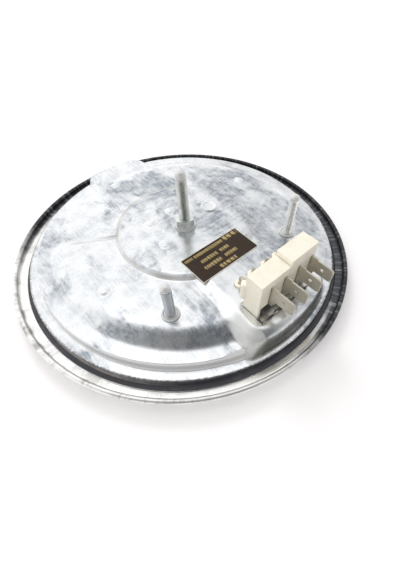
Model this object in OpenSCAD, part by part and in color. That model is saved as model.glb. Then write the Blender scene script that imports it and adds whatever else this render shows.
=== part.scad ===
// Electric hotplate for a cooker hob, lying on its cooking face with its terminals up.
// Millimetres. Z is up, the cooking face is at z = 0 and the terminals point towards -Y.

/* [Plate casting] */
// Diameter of the cooking face
plate_d = 145; // [143:0.5:147]
// Thickness of iron under the heating grooves
face_t = 4.5; // [3.5:0.1:4.9]
// Diameter of the shallow recess in the middle of the cooking face
recess_d = 40; // [30:1:46]
// Depth of that recess
recess_depth = 1; // [0.5:0.1:1.6]
// Height of the cooking edge below the flange
edge_h = 2.2; // [1.8:0.1:2.6]
// How far the flange stands out past the cooking edge
flange_out = 1.9; // [1.5:0.1:2.3]
// Thickness of the flange
flange_t = 1.9; // [1.6:0.1:2.2]
// Height of the rim that carries the cover, above the flange
rim_h = 2.85; // [2.6:0.05:3.2]
// Width of that rim
rim_w = 4.6; // [4:0.1:4.7]
// How far the rim stands in from the cooking edge
rim_in = 0.3; // [0.1:0.1:0.8]
// Depth of the grooves that hold the heating coils
groove_depth = 5; // [4.7:0.1:5.2]
// Width of each groove
groove_w = 8; // [7.4:0.1:8.4]
// Width of iron between two grooves
rib_w = 7; // [6.6:0.1:7.4]
// Gap between the rim and the outermost rib
rim_gap = 2.3; // [1.8:0.1:2.8]
// Width of the iron wall outside the outer groove
outer_rib_w = 2; // [1.4:0.1:2.2]
// Diameter of the boss that holds the centre stud
boss_d = 16; // [13:0.5:19]

/* [Trim ring] */
// Width of the trim ring
ring_w = 5.55; // [4.95:0.05:6.15]
// Thickness of the ring's sheet
ring_t = 0.7; // [0.5:0.05:0.9]
// Rise of the sheet from the flange to the lip
ring_rise = 0.9; // [0.6:0.1:1.2]
// Radius of the rolled lip
lip_r = 1.05; // [0.9:0.05:1.2]
// Height of the lip's top above the flange
lip_rise = 3; // [2.7:0.1:3.4]
// Depth of the collar that grips the flange
ring_collar = 2.2; // [1.6:0.1:2.8]

/* [Cover] */
// Thickness of the cover's sheet
cover_t = 0.8; // [0.6:0.05:1]
// How far the cover's edge stands out past the rim
cover_out = 0.2; // [0.1:0.1:0.8]
// Width of the outer flat ring
outer_flat_w = 4; // [3.6:0.1:4.4]
// Clearance between the insulating sheet and the cover's step
sheet_gap = 0.7; // [0.4:0.1:1]
// Width of the sloping face of that step
step_run = 0.6; // [0.4:0.1:0.9]
// Width of the flat ring on the step
step_flat_w = 5.4; // [5:0.1:5.8]
// Height of the plateau above the step
plateau_h = 3.6; // [3.4:0.1:4.2]
// Width of the sloping wall up to the plateau
wall_run = 7.6; // [7:0.1:8.2]
// Height of the middle disc above the plateau
disc_h = 1.6; // [1.3:0.1:2]
// Diameter of the middle disc
disc_d = 61; // [58:0.5:63]
// Width of the disc's bevel
disc_run = 1.5; // [0.9:0.1:2]
// Rise of the back sector from its outer edge to the disc
sector_h = 0.9; // [0.5:0.1:1.1]
// Half angle of the back sector
sector_half = 60; // [54:1:64]

/* [Terminal platform and back lobe] */
// How far the platform's top stands out to the left of the terminal blocks
platform_left_out = 3.7; // [3.2:0.1:4.4]
// How far it stands out to the right of them, at its front
platform_right_out = 1.9; // [1.6:0.1:2.6]
// How far the platform's sides lean out down to the plateau
shoulder_run = 5.2; // [4.4:0.1:6]
// How far they lean out further down to the outer ring
side_run = 3.4; // [2.6:0.1:4]
// Half width of the platform's top at its root in the middle
platform_root = 9.6; // [9:0.1:10.4]
// How far the platform's top stands back from the upper line of its front wall
front_shoulder = 2.6; // [2:0.1:3]
// Gap from the cover's edge to the foot of the platform's front wall
front_gap = 1.4; // [1.2:0.1:1.8]
// How far the front wall leans in
front_run = 2.8; // [2.4:0.1:3.2]
// Corner radius of the back lobe
corner_r = 8; // [7:0.5:9]
// Width of the back lobe at its top
lobe_w = 33; // [31:0.5:35]
// Drop from the plateau to the top of the back lobe
lobe_drop = 0.45; // [0.3:0.05:0.8]
// Gap from the cover's edge to the foot of the lobe's back wall
lobe_gap = 2; // [1.6:0.1:2.6]
// How far the lobe's back and side walls lean in
lobe_run = 1.6; // [1.2:0.1:2]
// Depth of the seat pressed into the platform for the terminal blocks
seat_depth = 0.6; // [0.4:0.05:0.7]
// Margin of the seat at the blocks' sides and back
seat_side = 0.4; // [0.2:0.1:0.6]
// Margin of the seat in front of the blocks
seat_front = 3.4; // [2.6:0.1:4.2]

/* [Pressed marks] */
// Diameter of the small pips pressed up in the cover
pip_d = 3.6; // [2.8:0.1:4.2]
// Height of the small pips
pip_h = 0.7; // [0.5:0.1:0.9]
// Diameter of the round pad pressed up in the middle disc
pad_d = 8.6; // [7:0.2:10]
// Height of that pad
pad_h = 0.4; // [0.3:0.1:0.6]

/* [Heating coils] */
// Outer diameter of each wound coil
coil_d = 3.6; // [3:0.1:4]
// Diameter of the open core of a coil
coil_core_d = 2.2; // [1.6:0.1:2.4]
// Distance left between the outermost lead and the coils' ends
coil_end_gap = 4.4; // [3:0.1:6]
// Clearance of the packing round a coil
coil_clear = 0.05; // [0.02:0.01:0.1]
// Thickness of the insulating sheet over the coils
sheet_t = 0.8; // [0.6:0.1:1]
// Distance of the insulating sheet's edge inside the outer groove's wall
sheet_in = 2.5; // [2:0.1:3]

/* [Centre stud] */
// Outer diameter of the centre stud's thread
stud_d = 5; // [4.6:0.1:5.2]
// Core diameter at which the boss and the nut grip the stud's thread
stud_grip_d = 4.2; // [4:0.1:4.5]
// Height of the stud above the middle disc
stud_h = 28.75; // [22:0.25:36]
// Depth of the stud in the casting's boss
stud_seat = 8; // [6:0.5:9]
// Height of the plain end of the stud
stud_tip = 3.2; // [2.5:0.1:4.5]
// Width of the nut across its flats
nut_af = 8; // [7.6:0.1:8.4]
// Height of the nut
nut_h = 4; // [3.5:0.1:4.7]
// Diameter of the washer under the nut
washer_d = 10; // [9.8:0.1:11]
// Thickness of the washer
washer_t = 0.9; // [0.7:0.1:1.2]

/* [Side pins] */
// Distance of each side pin from the plateau's edge
pin_in = 6.1; // [5.4:0.1:6.8]
// Angle of each pin from the terminal side
pin_angle = 45; // [43:0.5:48]
// Diameter of the side pins' thread
pin_d = 4; // [3.6:0.1:4.4]
// Height of the left pin above the plateau
pin_left_h = 18; // [14:0.5:24]
// Height of the right pin above the plateau
pin_right_h = 21.6; // [14:0.1:26]
// Diameter of the collar at the foot of each pin
collar_d = 7.6; // [6.8:0.1:8.4]
// Thickness of the collar
collar_t = 0.9; // [0.7:0.1:1.2]
// Diameter of the head riveted inside the cover
rivet_d = 6; // [5.4:0.1:7]
// Thickness of the riveted head
rivet_t = 0.8; // [0.5:0.1:1]

/* [Terminal blocks] */
// Distance from a block's second tab to its right side
tab_side = 1.6; // [1.5:0.1:1.9]
// Depth of each block from front to back
block_depth = 7.7; // [7.4:0.1:8]
// Height of the low block
block_low_h = 18.6; // [17.8:0.1:19.6]
// Height of the high block
block_high_h = 20.9; // [20:0.1:22]
// Left side of the left block, from the middle
blocks_left = 11.5; // [11.3:0.1:11.7]
// Gap between the two blocks
block_gap = 0.2; // [0.1:0.05:0.3]
// Distance from the platform's front edge back to the blocks
block_setback = 9.8; // [9.2:0.1:10.4]
// Thickness of the side and back walls of a block
block_wall = 1.4; // [1.2:0.1:1.6]
// Height of the open arch under a block
arch_h = 4.6; // [4.2:0.1:5]
// Diameter of the ear at the back corner of the low block
ear_d = 3.2; // [2.8:0.1:3.6]
// Length of that ear
ear_l = 8; // [7:0.5:9]

/* [Spade tabs] */
// Thickness of a spade tab
tab_t = 0.8; // [0.7:0.05:0.9]
// Height of the blade
blade_h = 6.3; // [5.8:0.1:6.6]
// Length of the blade past its shoulder
blade_l = 7.7; // [7.2:0.1:8.2]
// How far the root stands out of the block
root_out = 2.8; // [2.4:0.1:3.4]
// Height of the root
root_h = 10.6; // [10:0.1:11]
// Height of the root's foot above the block's foot
root_lift = 4; // [3.6:0.1:4.4]
// Step from the root's top down to the blade's top
shoulder = 0.6; // [0.4:0.1:1]
// Chamfer at the blade's tip
tip_chamfer = 1.2; // [0.8:0.1:1.6]
// Diameter of the hole in the blade
tab_hole_d = 1.6; // [1.2:0.1:2]
// Place of the first tab from a block's left side
tab_first = 6.2; // [5.9:0.1:6.4]
// Distance between the two tabs of a block
tab_pitch = 7.4; // [7.2:0.1:7.6]
// Clearance of a tab in its slot
tab_gap = 0.1; // [0.05:0.05:0.15]
// Extra width of the slot's mouth on the left of the tab
slot_extra = 0.6; // [0.4:0.1:0.8]

/* [Leads] */
// Diameter of the lead wires
lead_d = 1.2; // [1:0.1:1.4]
// How far the leads' risers stand inside the middle coil's radius
lead_in = 1.7; // [1.4:0.1:2]
// Height of the leads' level run above the foot of the tabs
lead_up = 2.2; // [1.8:0.1:3]
// Depth of the leads in the packing
lead_sink = 2.5; // [1.5:0.1:3.5]
// Bend radius of a lead
lead_bend = 2; // [1.8:0.1:2.4]
// Clearance round a lead
lead_gap = 0.2; // [0.15:0.05:0.3]
// Outer diameter of the ceramic bead on each lead
bead_d = 4.4; // [4:0.1:5]
// Clearance of the cover round a bead
bead_clear = 0.15; // [0.1:0.05:0.3]
// Height of the bead above the platform
bead_out = 0.8; // [0.4:0.1:1.2]

/* [Name plate] */
// Width of the name plate
label_w = 32.4; // [30:0.2:33]
// Depth of the name plate
label_h = 15.7; // [14:0.1:16.4]
// Distance from the leads' risers to its edge
label_gap = 9.95; // [9.2:0.05:10.6]
// Thickness of the plate
label_t = 0.3; // [0.2:0.05:0.4]

/* [Hidden] */
$fn = 96;
eps = 0.01;
past = 1;
edge_chamfer = 1;
recess_slope = 3;
ring_fit = 0.05;
stud_fit = 0.2;
platform_corner_r = [4.5, 7.5, 5.5];
level_t = 0.2;
tab_back_gap = 0.3;
slot_mouth = 1.2;
ear_in = 0.5;
ear_lift = 5.8;
plate_r = plate_d / 2;
flange_r = plate_r + flange_out;
flange_z = edge_h + flange_t;
rim_r = plate_r - rim_in;
rim_z = flange_z + rim_h;
rib_z = face_t + groove_depth;
ribs_r = rim_r - rim_w - rim_gap;
outer_coil_r = ribs_r - outer_rib_w - groove_w / 2;
coil_r = [outer_coil_r, outer_coil_r - groove_w - rib_w, outer_coil_r - 2 * (groove_w + rib_w)];
coil_z = face_t + groove_depth / 2;
ring_inner_r = flange_r + ring_fit;
ring_r = ring_inner_r + ring_w;
lip_top = flange_z + lip_rise;
cover_r = rim_r + cover_out;
flat_z = rim_z + cover_t;
step_z = rib_z + sheet_t + sheet_gap + cover_t;
plateau_z = step_z + plateau_h;
disc_z = plateau_z + disc_h;
lobe_z = plateau_z - lobe_drop;
seat_z = disc_z - seat_depth;
boss_z = disc_z - cover_t;
step_foot_r = cover_r - outer_flat_w;
step_top_r = step_foot_r - step_run;
wall_foot_r = step_top_r - step_flat_w;
wall_top_r = wall_foot_r - wall_run;
disc_r = disc_d / 2;
front_foot_r = cover_r - front_gap;
front_top_r = front_foot_r - front_run;
lobe_foot_r = cover_r - lobe_gap;
sheet_r = coil_r[0] + groove_w / 2 - sheet_in;
pin_reach = wall_top_r - pin_in;
pin_x = pin_reach * sin(pin_angle);
pin_y = -pin_reach * cos(pin_angle);
block_w = tab_first + tab_pitch + tab_side;
block_x = [-blocks_left, -blocks_left + block_w + block_gap];
block_h = [block_low_h, block_high_h];
block_front_y = -front_top_r + block_setback;
block_back_y = block_front_y + block_depth;
platform_left = blocks_left + platform_left_out;
platform_right = block_x[1] + block_w + platform_right_out;
tab_x = [for (b = [0:1]) for (k = [0:1]) block_x[b] + tab_first + k * tab_pitch];
tab_back_y = block_back_y - block_wall - tab_back_gap;
root_y = block_front_y - root_out;
root_z = seat_z + root_lift;
root_top_z = root_z + root_h;
blade_top_z = root_top_z - shoulder;
blade_z = blade_top_z - blade_h;
tip_y = root_y - blade_l;
hole_y = root_y - 0.4 * blade_l;
lead_reach = coil_r[1] - lead_in;
lead_z = root_z + lead_up;
lead_foot_z = rib_z - lead_sink;
bead_foot_z = rib_z + sheet_t;
bead_bore = lead_d + 2 * lead_gap;
coil_half_gap = max([for (x = tab_x) atan2(abs(x), lead_reach)]) + coil_end_gap / coil_r[1] * 180 / PI;
label_y = -lead_reach + label_gap;
outer_pips = [[7.5, 13.4], [3.9, 99], [6.5, 189.3]];
inner_pips = [[0.4, 13.2], [-14.8, -3.9], [-12.2, 11.6]];
pips = concat(inner_pips,
    [for (p = outer_pips) (wall_top_r - p[0]) * [cos(p[1]), sin(p[1])]]);
pip_flare = 0.3;
pad_xy = [17.5, 3.2];

// A flat ring between two radii and two heights
module band(r0, r1, z0, z1) {
    translate([0, 0, z0]) difference() {
        cylinder(r = r1, h = z1 - z0);
        translate([0, 0, -past]) cylinder(r = r0, h = z1 - z0 + 2 * past);
    }
}

// An upright pillar at a place in plan
module pillar(x, y, d, z0, z1) {
    translate([x, y, z0]) cylinder(d = d, h = z1 - z0);
}

// Iron casting: cooking face, flange, rim, ribs between the coil grooves and centre boss
module plate_casting() {
    color("dimgray") difference() {
        union() {
            rotate_extrude() polygon([[0, 0], [plate_r - edge_chamfer, 0], [plate_r, edge_chamfer],
                [plate_r, edge_h], [flange_r, edge_h + 0.4], [flange_r, flange_z], [rim_r, flange_z],
                [rim_r, rim_z], [rim_r - rim_w, rim_z], [rim_r - rim_w, face_t], [0, face_t]]);
            band(coil_r[2] - groove_w / 2 - rib_w, ribs_r, face_t / 2, rib_z);
            pillar(0, 0, boss_d, face_t / 2, boss_z);
        }
        for (r = coil_r) band(r - groove_w / 2, r + groove_w / 2, face_t, rib_z + past);
        rotate_extrude() polygon([[0, -past], [recess_d / 2 + recess_slope, -past],
            [recess_d / 2 + recess_slope, 0], [recess_d / 2, recess_depth], [0, recess_depth]]);
        pillar(0, 0, stud_grip_d, boss_z - stud_seat, boss_z + past);
    }
}

// Polished sheet ring with a collar on the flange and a rolled lip
module trim_ring() {
    lip_z = lip_top - lip_r;
    lip_x = ring_r - lip_r;
    outer_z = flange_z + ring_rise;
    color("gainsboro") rotate_extrude() union() {
        polygon([[ring_inner_r, flange_z - ring_collar],
            [ring_inner_r + ring_t, flange_z - ring_collar],
            [ring_inner_r + ring_t, flange_z - ring_t], [lip_x, outer_z - ring_t],
            [lip_x + lip_r * 0.9, lip_z], [lip_x - lip_r * 0.75, lip_z],
            [lip_x - lip_r * 0.9, outer_z], [ring_inner_r, flange_z]]);
        translate([lip_x, lip_z]) circle(r = lip_r);
    }
}

// Plan of a raised block that runs from the middle to an arch of radius r, towards -Y:
// it reaches from -left to right, its corners have radius c and its root has half width root_w
module lobe_plan(left, right, root_w, r, c) {
    for (x = [c - left, right - c]) translate([x, -sqrt((r - c) * (r - c) - x * x)]) circle(r = c);
    translate([-root_w, -eps]) square([2 * root_w, eps]);
    intersection() {
        circle(r = r);
        polygon([[0, 0], [right - c, -r], [right - c, -2 * r], [c - left, -2 * r], [c - left, -r]]);
    }
}

// One level of a raised block, ending at height z and grown sideways by g
module lobe_level(left, right, root_w, r, c, z, g) {
    translate([0, 0, z - level_t]) linear_extrude(height = level_t)
        lobe_plan(left + g, right + g, root_w + g, r, c);
}

// Terminal platform, from its foot over a soft shoulder to its top, each with its own corner radius
module platform_form(t) {
    foot_out = shoulder_run + side_run - t;
    hull() {
        lobe_level(platform_left, platform_right, platform_root, front_foot_r - t,
            platform_corner_r[0], rim_z - t + level_t, foot_out);
        lobe_level(platform_left, platform_right, platform_root, front_top_r + front_run * 0.1 - t,
            platform_corner_r[1], plateau_z - t, shoulder_run - t);
        lobe_level(platform_left, platform_right, platform_root, front_top_r - front_shoulder - t,
            platform_corner_r[2], disc_z - t, -t);
    }
}

// Back lobe, on the other side
module back_lobe_form(t) {
    w = lobe_w / 2;
    rotate([0, 0, 180]) hull() {
        lobe_level(w, w, w, lobe_foot_r - t, corner_r, rim_z - t + level_t, lobe_run - t);
        lobe_level(w, w, w, lobe_foot_r - lobe_run - t, corner_r - 1, lobe_z - t, -t);
    }
}

// Back sector, rising a little towards the disc
module sector_form(t) {
    x = 2 * cover_r * sin(sector_half);
    y = 2 * cover_r * cos(sector_half);
    intersection() {
        rotate_extrude() polygon([[0, rim_z - t], [wall_top_r - t, rim_z - t],
            [wall_top_r - t, plateau_z - t], [disc_r - t, plateau_z + sector_h - t],
            [0, plateau_z + sector_h - t]]);
        linear_extrude(height = disc_z) polygon([[0, 0], [x - t, y], [0, 3 * cover_r], [t - x, y]]);
    }
}

// Solid that fills the cover up to its outside for t = 0, or up to its inside for its thickness
module cover_form(t) {
    foot_z = rim_z - t;
    rotate_extrude() polygon([[0, foot_z], [step_foot_r - t, foot_z], [step_foot_r - t, flat_z - t],
        [step_top_r - t, step_z - t], [wall_foot_r - t, step_z - t], [wall_top_r - t, plateau_z - t],
        [disc_r + disc_run - t, plateau_z - t], [disc_r - t, disc_z - t], [0, disc_z - t]]);
    platform_form(t);
    back_lobe_form(t);
    sector_form(t);
}

// Seat for the terminal blocks, pressed down into the platform, grown by t
module block_seat(t) {
    translate([block_x[0] - seat_side - t, block_front_y - seat_front - t, seat_z - t])
        cube([block_x[1] + block_w + 2 * seat_side + 2 * t - block_x[0],
            block_depth + seat_front + seat_side + 2 * t, disc_z]);
}

// Pips and the round pad, pressed up in the sheet
module pressed_marks(t) {
    for (p = pips) translate([p[0], p[1], pip_foot(p) - t - pip_flare])
        cylinder(d1 = pip_d - t + 2 * pip_flare, d2 = pip_d - t - 2 * pip_h, h = pip_h + pip_flare);
    translate([pad_xy[0], pad_xy[1], disc_z - t - pip_flare])
        cylinder(d1 = pad_d - t + 2 * pip_flare, d2 = pad_d - t - 2 * pad_h, h = pad_h + pip_flare);
}

// Height of the cover's outside at a pip
function pip_foot(p) = norm(p) < disc_r ? disc_z :
    abs(p[0]) < p[1] * tan(sector_half) ?
        plateau_z + sector_h * (wall_top_r - norm(p)) / (wall_top_r - disc_r) : plateau_z;

// Pressed and galvanised sheet cover
module bottom_cover() {
    color("lightgray") difference() {
        union() {
            translate([0, 0, rim_z]) cylinder(r = cover_r, h = cover_t);
            cover_form(0);
            pressed_marks(0);
        }
        difference() {
            union() {
                cover_form(cover_t);
                pressed_marks(cover_t);
            }
            block_seat(cover_t);
        }
        block_seat(0);
        pillar(0, 0, stud_d + 2 * stud_fit, 0, 2 * disc_z);
        for (s = [-1, 1]) pillar(s * pin_x, pin_y, pin_d, 0, 2 * disc_z);
        for (x = tab_x) pillar(x, -lead_reach, bead_d + 2 * bead_clear, 0, 2 * disc_z);
    }
}

// Sheet of insulation that lies on the ribs
module insulating_sheet() {
    color("wheat") difference() {
        band((boss_d + 0.6) / 2, sheet_r, rib_z, rib_z + sheet_t);
        for (x = tab_x) pillar(x, -lead_reach, bead_bore, 0, 2 * disc_z);
    }
}

// Trench that one coil lies in
module coil_bed(i) {
    w = coil_d / 2 + coil_clear;
    rotate([0, 0, coil_half_gap - 90]) rotate_extrude(angle = 360 - 2 * coil_half_gap)
        translate([coil_r[i], coil_z]) {
            circle(r = w);
            translate([-w, 0]) square([2 * w, groove_depth]);
        }
}

// Packing that fills one groove and beds its coil
module packing(i) {
    color("tan") difference() {
        band(coil_r[i] - groove_w / 2, coil_r[i] + groove_w / 2, face_t, rib_z);
        coil_bed(i);
        if (i == 1) for (x = tab_x) pillar(x, -lead_reach, lead_d, lead_foot_z, rib_z + past);
    }
}

module packing_outer() {
    packing(0);
}

module packing_middle() {
    packing(1);
}

module packing_inner() {
    packing(2);
}

// One wound heating coil, shown as the tube that its close turns make
module coil(i) {
    color("silver") rotate([0, 0, coil_half_gap - 90]) rotate_extrude(angle = 360 - 2 * coil_half_gap)
        translate([coil_r[i], coil_z]) difference() {
            circle(d = coil_d);
            circle(d = coil_core_d);
        }
}

module coil_outer() {
    coil(0);
}

module coil_middle() {
    coil(1);
}

module coil_inner() {
    coil(2);
}

// Threaded stud that clamps the plate to the hob
module centre_stud() {
    top_z = disc_z + stud_h;
    nut_top_z = disc_z + washer_t + nut_h;
    tip_r = stud_d / 2 - 0.4;
    color("silver") rotate_extrude() polygon([[0, boss_z - stud_seat],
        [stud_grip_d / 2, boss_z - stud_seat], [stud_grip_d / 2, nut_top_z], [stud_d / 2, nut_top_z],
        [stud_d / 2, top_z - stud_tip], [tip_r, top_z - stud_tip + 0.4], [tip_r, top_z - 1.2],
        [tip_r * 0.55, top_z - 0.2], [0, top_z]]);
}

module stud_washer() {
    color("silver") difference() {
        pillar(0, 0, washer_d, disc_z, disc_z + washer_t);
        pillar(0, 0, stud_d + 2 * stud_fit, disc_z - past, disc_z + washer_t + past);
    }
}

// Hexagon nut with chamfered corners
module stud_nut() {
    z0 = disc_z + washer_t;
    corner = nut_af / 2 / cos(30);
    color("silver") difference() {
        intersection() {
            linear_extrude(height = z0 + nut_h)
                polygon([for (i = [0:5]) [corner * cos(60 * i), corner * sin(60 * i)]]);
            rotate_extrude() polygon([[0, z0], [nut_af / 2, z0], [corner + 0.1, z0 + 0.4],
                [corner + 0.1, z0 + nut_h - 0.4], [nut_af / 2, z0 + nut_h], [0, z0 + nut_h]]);
        }
        pillar(0, 0, stud_grip_d, z0 - past, z0 + nut_h + past);
    }
}

// Threaded pin with a collar outside the cover and a riveted head inside it
module side_pin(x, h) {
    top_z = plateau_z + h;
    under_z = plateau_z - cover_t;
    tip_r = pin_d / 2 - 0.35;
    color("silver") translate([x, pin_y, 0]) rotate_extrude() polygon([
        [0, under_z - rivet_t], [rivet_d / 2, under_z - rivet_t], [rivet_d / 2, under_z],
        [pin_d / 2, under_z], [pin_d / 2, plateau_z], [collar_d / 2, plateau_z],
        [collar_d / 2, plateau_z + collar_t], [pin_d / 2, plateau_z + collar_t],
        [pin_d / 2, top_z - 2.2], [tip_r, top_z - 1.8], [tip_r, top_z - 0.8],
        [tip_r * 0.6, top_z - 0.1], [0, top_z]]);
}

module side_pin_left() {
    side_pin(-pin_x, pin_left_h);
}

module side_pin_right() {
    side_pin(pin_x, pin_right_h);
}

// Slot in a block that takes a tab, and the slit behind it that its lead comes through
module tab_slot(x) {
    z0 = root_z - tab_gap;
    h = root_h + 2 * tab_gap;
    back_y = tab_back_y + tab_gap;
    translate([x - tab_t / 2 - slot_extra, block_front_y - past, z0])
        cube([tab_t + slot_extra + tab_gap, past + slot_mouth, h]);
    translate([x - tab_t / 2 - tab_gap, block_front_y - past, z0])
        cube([tab_t + 2 * tab_gap, back_y + past - block_front_y, h]);
    translate([x - bead_bore / 2, back_y - tab_back_gap, seat_z - past])
        cube([bead_bore, block_wall + 2 * past, past + lead_z - seat_z + bead_bore / 2]);
}

// Ceramic block, open under an arch at its front
module terminal_block(b) {
    left_x = block_x[b];
    color("ivory") difference() {
        union() {
            translate([left_x, block_front_y, seat_z]) cube([block_w, block_depth, block_h[b]]);
            if (b == 0) pillar(left_x + ear_in, block_back_y + ear_in, ear_d,
                seat_z + ear_lift, seat_z + ear_lift + ear_l);
        }
        translate([left_x + block_wall, block_front_y - past, seat_z - past])
            cube([block_w - 2 * block_wall, block_depth + past - block_wall, arch_h + past]);
        for (k = [0:1]) tab_slot(tab_x[2 * b + k]);
    }
}

module terminal_block_low() {
    terminal_block(0);
}

module terminal_block_high() {
    terminal_block(1);
}

// Spade tab: a root held in the block and a blade with a pierced hole
module tab(i) {
    color("silver") translate([tab_x[i] + tab_t / 2, 0, 0]) rotate([0, -90, 0])
        linear_extrude(height = tab_t) difference() {
            polygon([[root_z, tab_back_y], [root_z, root_y + 1.4], [root_z + 1.6, root_y + 1.4],
                [root_z + 1.6, root_y + 0.6], [blade_z, root_y], [blade_z, tip_y + tip_chamfer],
                [blade_z + tip_chamfer / 2, tip_y], [blade_top_z - tip_chamfer / 2, tip_y],
                [blade_top_z, tip_y + tip_chamfer], [blade_top_z, root_y], [root_top_z, root_y],
                [root_top_z, tab_back_y]]);
            translate([(blade_z + blade_top_z) / 2, hole_y]) circle(d = tab_hole_d);
        }
}

module tab_1() {
    tab(0);
}

module tab_2() {
    tab(1);
}

module tab_3() {
    tab(2);
}

module tab_4() {
    tab(3);
}

// Lead wire: up from the packing, round a bend and level to the back of its tab
module lead(i) {
    run = lead_reach + lead_bend;
    color("silver") translate([tab_x[i], 0, 0]) {
        pillar(0, -lead_reach, lead_d, lead_foot_z, lead_z - lead_bend);
        translate([0, -run, lead_z - lead_bend]) rotate([0, -90, 0]) rotate_extrude(angle = 90)
            translate([lead_bend, 0]) circle(d = lead_d);
        translate([0, -run, lead_z]) rotate([90, 0, 0]) cylinder(d = lead_d, h = -tab_back_y - run);
    }
}

module lead_1() {
    lead(0);
}

module lead_2() {
    lead(1);
}

module lead_3() {
    lead(2);
}

module lead_4() {
    lead(3);
}

// Ceramic bead that carries a lead through the cover
module bead(i) {
    color("ivory") difference() {
        pillar(tab_x[i], -lead_reach, bead_d, bead_foot_z, disc_z + bead_out);
        pillar(tab_x[i], -lead_reach, bead_bore, bead_foot_z - past, disc_z + bead_out + past);
    }
}

module bead_1() {
    bead(0);
}

module bead_2() {
    bead(1);
}

module bead_3() {
    bead(2);
}

module bead_4() {
    bead(3);
}

// Thin name plate, left blank
module name_plate() {
    color("black") translate([-label_w / 2, label_y, disc_z])
        cube([label_w, label_h, label_t]);
}

plate_casting();
trim_ring();
bottom_cover();
insulating_sheet();
packing_outer();
packing_middle();
packing_inner();
coil_outer();
coil_middle();
coil_inner();
centre_stud();
stud_washer();
stud_nut();
side_pin_left();
side_pin_right();
terminal_block_low();
terminal_block_high();
tab_1();
tab_2();
tab_3();
tab_4();
lead_1();
lead_2();
lead_3();
lead_4();
bead_1();
bead_2();
bead_3();
bead_4();
name_plate();
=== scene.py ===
"""The looks of an electric hotplate that lies on its cooking face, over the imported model.

Sizes are in millimetres in the row frame: +Z up, the terminals towards -Y. They turn into metres
only where a mesh is made.
"""

import logging
import math
from dataclasses import dataclass, field
from enum import Enum
from typing import Iterable, Sequence

import bpy
import numpy as np
from mathutils import Matrix, Vector, kdtree
from mathutils.geometry import delaunay_2d_cdt


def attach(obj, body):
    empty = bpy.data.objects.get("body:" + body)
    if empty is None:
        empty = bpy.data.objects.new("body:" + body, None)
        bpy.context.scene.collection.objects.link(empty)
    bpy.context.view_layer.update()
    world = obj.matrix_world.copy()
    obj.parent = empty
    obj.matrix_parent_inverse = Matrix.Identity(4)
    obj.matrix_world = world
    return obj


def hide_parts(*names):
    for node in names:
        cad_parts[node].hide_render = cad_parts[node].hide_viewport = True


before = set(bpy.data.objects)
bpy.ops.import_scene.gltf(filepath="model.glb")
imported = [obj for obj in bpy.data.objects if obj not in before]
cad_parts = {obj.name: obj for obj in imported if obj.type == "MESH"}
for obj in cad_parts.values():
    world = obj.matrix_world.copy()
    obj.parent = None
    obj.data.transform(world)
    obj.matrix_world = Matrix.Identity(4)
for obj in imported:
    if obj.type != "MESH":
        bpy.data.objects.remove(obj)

log = logging.getLogger("hotplate")

MM = 0.001
Point2 = tuple[float, float]
Colour = tuple[float, float, float]
Array = np.ndarray


class Slot(Enum):
    """Material slots of the record."""

    IRON = "iron"
    STAINLESS = "stainless"
    ZINC = "zinc_sheet"
    PLATED = "plated_steel"
    CERAMIC = "ceramic"
    NICKEL = "nickel"
    FOIL = "dark_foil"


# ---------------------------------------------------------------- shader graphs


class Wire:
    """An output socket that takes part in Python arithmetic."""

    def __init__(self, graph: "Graph", socket: bpy.types.NodeSocket) -> None:
        """Keep the graph that owns the socket.

        Args:
            graph: The graph that new nodes go to.
            socket: The output socket.
        """
        self.graph = graph
        self.socket = socket

    def _math(self, operation: str, first: "Wire | float", second: "Wire | float") -> "Wire":
        """Add one Math node.

        Args:
            operation: The node's operation.
            first: The first operand.
            second: The second operand.

        Returns:
            The result.
        """
        return self.graph.node("ShaderNodeMath", {"operation": operation}, {0: first, 1: second})

    def __add__(self, other: "Wire | float") -> "Wire":
        """Return self + other."""
        return self._math("ADD", self, other)

    __radd__ = __add__

    def __mul__(self, other: "Wire | float") -> "Wire":
        """Return self * other."""
        return self._math("MULTIPLY", self, other)

    __rmul__ = __mul__

    def __sub__(self, other: "Wire | float") -> "Wire":
        """Return self - other."""
        return self._math("SUBTRACT", self, other)

    def __rsub__(self, other: float) -> "Wire":
        """Return other - self."""
        return self._math("SUBTRACT", other, self)

    def __truediv__(self, other: "Wire | float") -> "Wire":
        """Return self / other."""
        return self._math("DIVIDE", self, other)

    def __pow__(self, other: float) -> "Wire":
        """Return self to the power of other."""
        return self._math("POWER", self, other)

    def clamp(self) -> "Wire":
        """Return self held between 0 and 1."""
        return self.graph.node("ShaderNodeClamp", {}, {0: self})


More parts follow.
